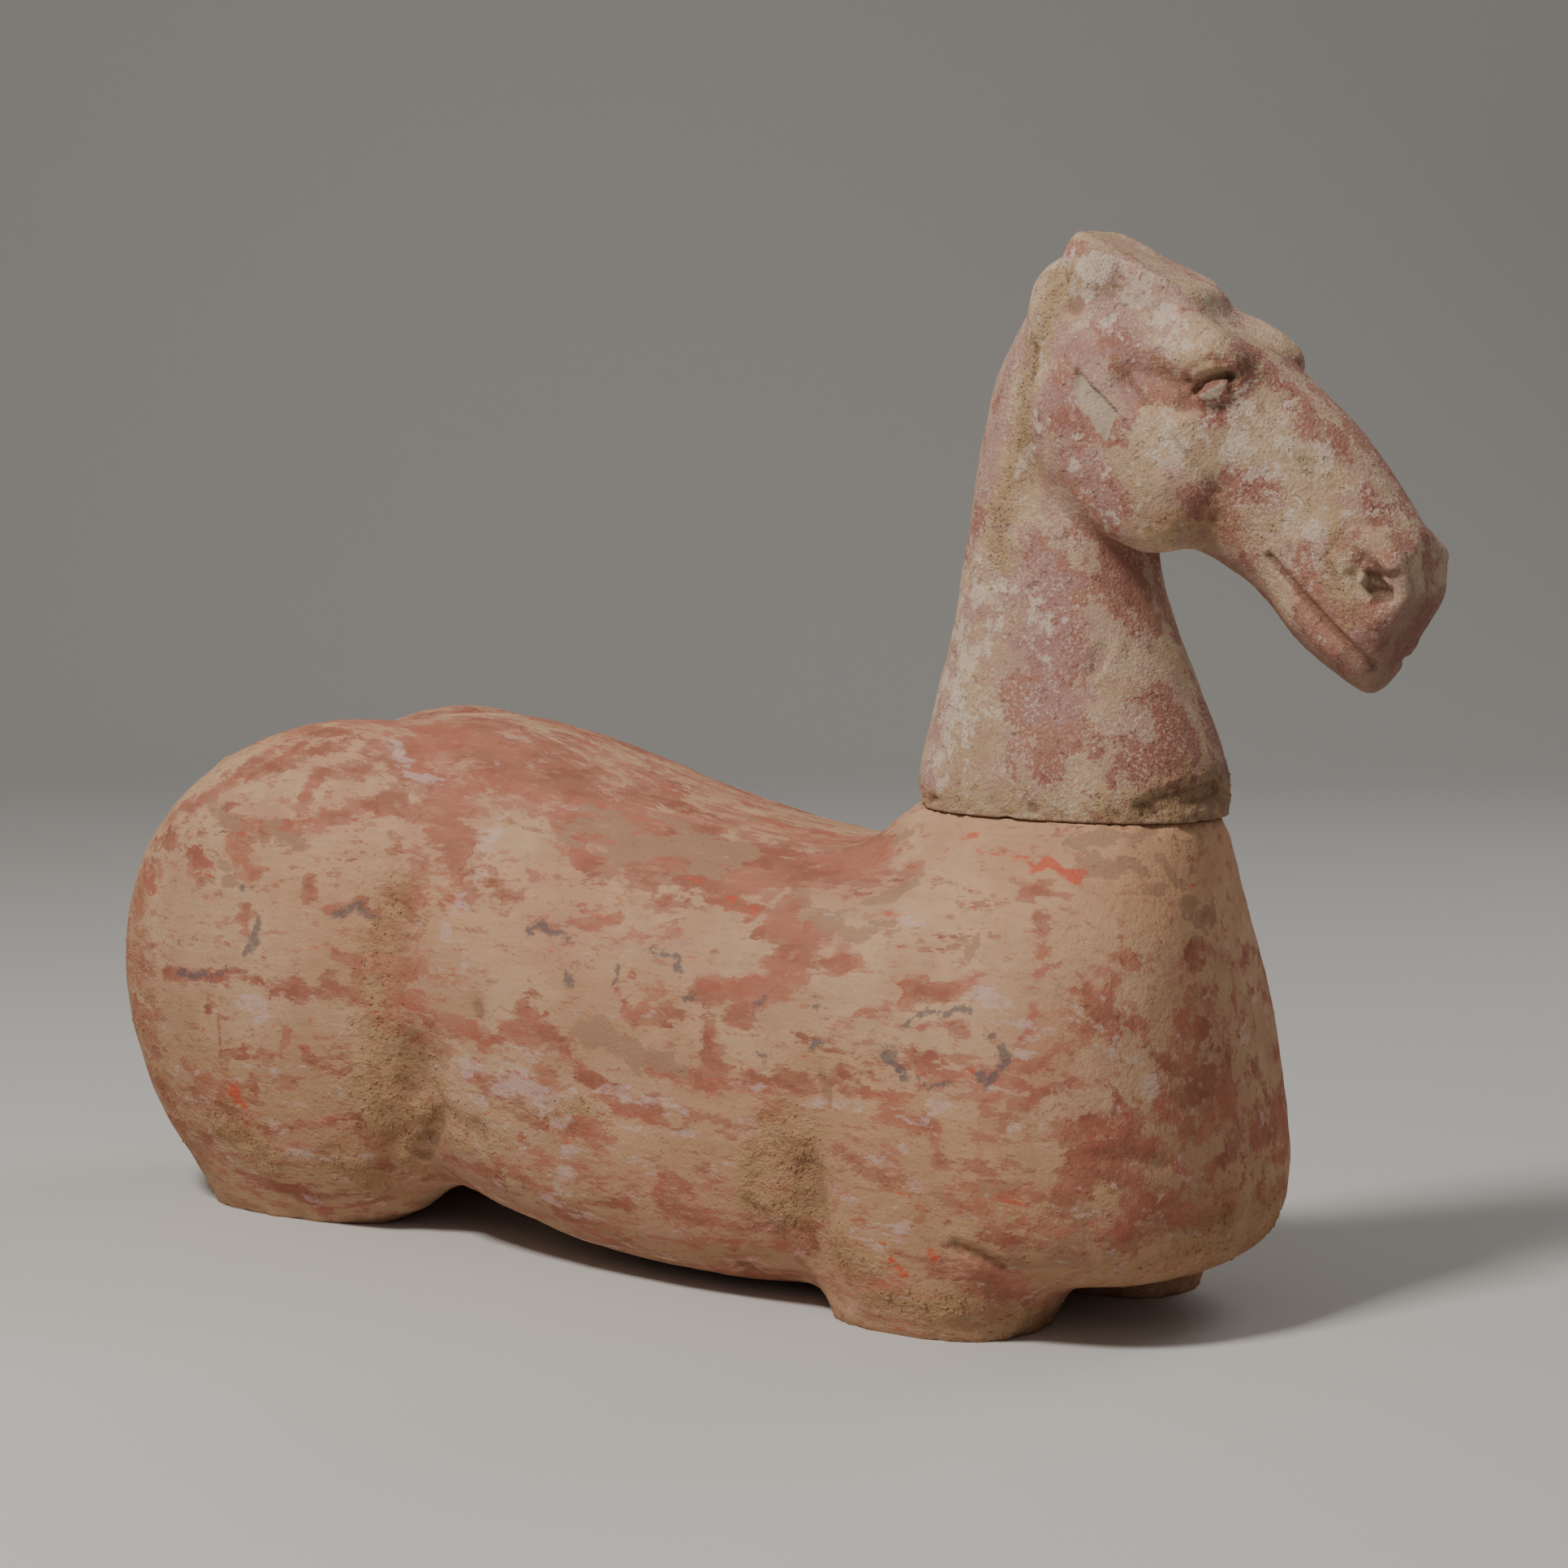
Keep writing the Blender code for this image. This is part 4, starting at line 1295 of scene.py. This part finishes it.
finishes = {"torso": torso_finish(), "head": head_finish()}
print("finishes:", [finish.name for finish in finishes.values()])

# %% [markdown]
# ## Worn relief and crumbs of earth
#
# Wiped clay is never quite even, and burial earth sticks to it in a crust with loose crumbs. Both follow
# the surface, so one node tree does them for both pieces. It moves the skin along its normals by three
# noises, the last of them only where the brush laid earth, and then scatters small crumbs in the same
# places. Carving them one by one would take thousands of marks, and a bump in the material alone leaves the
# outline too clean.

# %% Relief nodes
RELIEF_VALUES = (
    "Wave Size", "Wave Height", "Grain Size", "Grain Height", "Crust Size", "Crust Height", "Crumb Size",
    "Crumb Density",
)
NOISE_SHIFTS = (("Wave", 3.0), ("Grain", 5.0), ("Crust", 7.0))
CRUSTED = (0.25, 0.8)
SPOT_SEED = 5
SIZE_SEED = 9
SMALLEST_CRUMB = (0.35, 0.35, 0.25)
LARGEST_CRUMB = (1.1, 1.1, 0.8)


def relief_noise(tree, size, height, shift):
    """A noise along the surface in metres, from minus to plus half the height."""
    place = tree.nodes.new("GeometryNodeInputPosition")
    moved = put(tree, "ShaderNodeVectorMath", place.outputs[0], (shift, shift, shift), operation="ADD")
    lump = tree.nodes.new("ShaderNodeTexNoise")
    lump.inputs["Detail"].default_value = 4.0
    tree.links.new(moved.outputs[0], lump.inputs["Vector"])
    tree.links.new(maths(tree, "DIVIDE", 1.0, size), lump.inputs["Scale"])
    return maths(tree, "MULTIPLY", maths(tree, "SUBTRACT", lump.outputs[0], 0.5), height)


def skin_value(tree, name):
    """A value that was kept on the skin, for the relief."""
    node = tree.nodes.new("GeometryNodeInputNamedAttribute")
    node.data_type = "FLOAT"
    node.inputs["Name"].default_value = name
    return node.outputs["Attribute"]


def build_worn_relief():
    """Skin in, roughened skin with crumbs out."""
    tree = bpy.data.node_groups.new("worn relief", "GeometryNodeTree")
    tree.interface.new_socket("Geometry", in_out="INPUT", socket_type="NodeSocketGeometry")
    for title in RELIEF_VALUES:
        tree.interface.new_socket(title, in_out="INPUT", socket_type="NodeSocketFloat")
    tree.interface.new_socket("Finish", in_out="INPUT", socket_type="NodeSocketMaterial")
    tree.interface.new_socket("Geometry", in_out="OUTPUT", socket_type="NodeSocketGeometry")
    start = tree.nodes.new("NodeGroupInput")
    given = start.outputs
    earth = skin_value(tree, "earth")
    crusted = step_between(tree, earth, *CRUSTED)
    wave, grain, crust = (
        relief_noise(tree, given[f"{name} Size"], given[f"{name} Height"], shift)
        for name, shift in NOISE_SHIFTS
    )
    swell = maths(tree, "ADD", maths(tree, "ADD", wave, grain), maths(tree, "MULTIPLY", crust, crusted))
    swell = maths(tree, "MULTIPLY", swell, skin_value(tree, "free"))
    normal = tree.nodes.new("GeometryNodeInputNormal")
    offset = put(tree, "ShaderNodeVectorMath", normal.outputs[0], operation="SCALE")
    tree.links.new(swell, offset.inputs["Scale"])
    moved = tree.nodes.new("GeometryNodeSetPosition")
    tree.links.new(given["Geometry"], moved.inputs["Geometry"])
    tree.links.new(offset.outputs[0], moved.inputs["Offset"])

    spots = tree.nodes.new("GeometryNodeDistributePointsOnFaces")
    spots.inputs["Seed"].default_value = SPOT_SEED
    tree.links.new(moved.outputs["Geometry"], spots.inputs["Mesh"])
    thick = maths(tree, "MULTIPLY", maths(tree, "MULTIPLY", crusted, earth), skin_value(tree, "room"))
    tree.links.new(maths(tree, "MULTIPLY", thick, given["Crumb Density"]), spots.inputs["Density"])
    crumb = tree.nodes.new("GeometryNodeMeshIcoSphere")
    crumb.inputs["Subdivisions"].default_value = 1
    tree.links.new(given["Crumb Size"], crumb.inputs["Radius"])
    sizes = tree.nodes.new("FunctionNodeRandomValue")
    sizes.data_type = "FLOAT_VECTOR"
    sizes.inputs["Min"].default_value = SMALLEST_CRUMB
    sizes.inputs["Max"].default_value = LARGEST_CRUMB
    sizes.inputs["Seed"].default_value = SIZE_SEED
    crumbs = tree.nodes.new("GeometryNodeInstanceOnPoints")
    tree.links.new(spots.outputs["Points"], crumbs.inputs["Points"])
    tree.links.new(spots.outputs["Rotation"], crumbs.inputs["Rotation"])
    tree.links.new(crumb.outputs["Mesh"], crumbs.inputs["Instance"])
    tree.links.new(sizes.outputs["Value"], crumbs.inputs["Scale"])
    joined = tree.nodes.new("GeometryNodeJoinGeometry")
    tree.links.new(crumbs.outputs["Instances"], joined.inputs["Geometry"])
    tree.links.new(moved.outputs["Geometry"], joined.inputs["Geometry"])
    real = tree.nodes.new("GeometryNodeRealizeInstances")
    tree.links.new(joined.outputs["Geometry"], real.inputs["Geometry"])
    dressed = tree.nodes.new("GeometryNodeSetMaterial")
    tree.links.new(real.outputs["Geometry"], dressed.inputs["Geometry"])
    tree.links.new(given["Finish"], dressed.inputs["Material"])
    end = tree.nodes.new("NodeGroupOutput")
    tree.links.new(dressed.outputs["Geometry"], end.inputs["Geometry"])
    return tree


worn_relief = build_worn_relief()

# %% Roughen the pieces
TORSO_RELIEF = (0.060, 0.0034, 0.012, 0.0011, 0.010, 0.0050, 0.0011, 60000.0)
HEAD_RELIEF = (0.032, 0.0024, 0.0080, 0.0008, 0.007, 0.0036, 0.0009, 110000.0)


def roughen(obj, values, finish, node):
    """Run the relief on a piece with its values, bake it, and keep it inside its solid's box."""
    modifier = obj.modifiers.new("worn relief", "NODES")
    modifier.node_group = worn_relief
    given = dict(zip(RELIEF_VALUES, values), Finish=finish)
    for socket in worn_relief.interface.items_tree:
        if socket.in_out == "INPUT" and socket.name in given:
            modifier[socket.identifier] = given[socket.name]
    bake(obj)
    low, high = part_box(node)
    move_points(obj, np.clip(points_of(obj), list(low), list(high)))
    obj.data.shade_smooth()
    print(obj.name, "has", len(obj.data.vertices), "points after the relief")


roughen(torso, TORSO_RELIEF, finishes["torso"], "horse_torso")
roughen(head, HEAD_RELIEF, finishes["head"], "head_and_neck")

# %% [markdown]
# ## Dress the pieces
#
# Each skin takes its finish, stands in for its solid, and rides on the one body of the horse.

# %% Dress
for skin, node, slot in ((torso, "horse_torso", "torso_clay"), (head, "head_and_neck", "head_clay")):
    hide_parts(node)
    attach(skin, "root")
    print(skin.name, "has", len(skin.data.polygons), "faces and", len(skin.data.materials), "material slots")
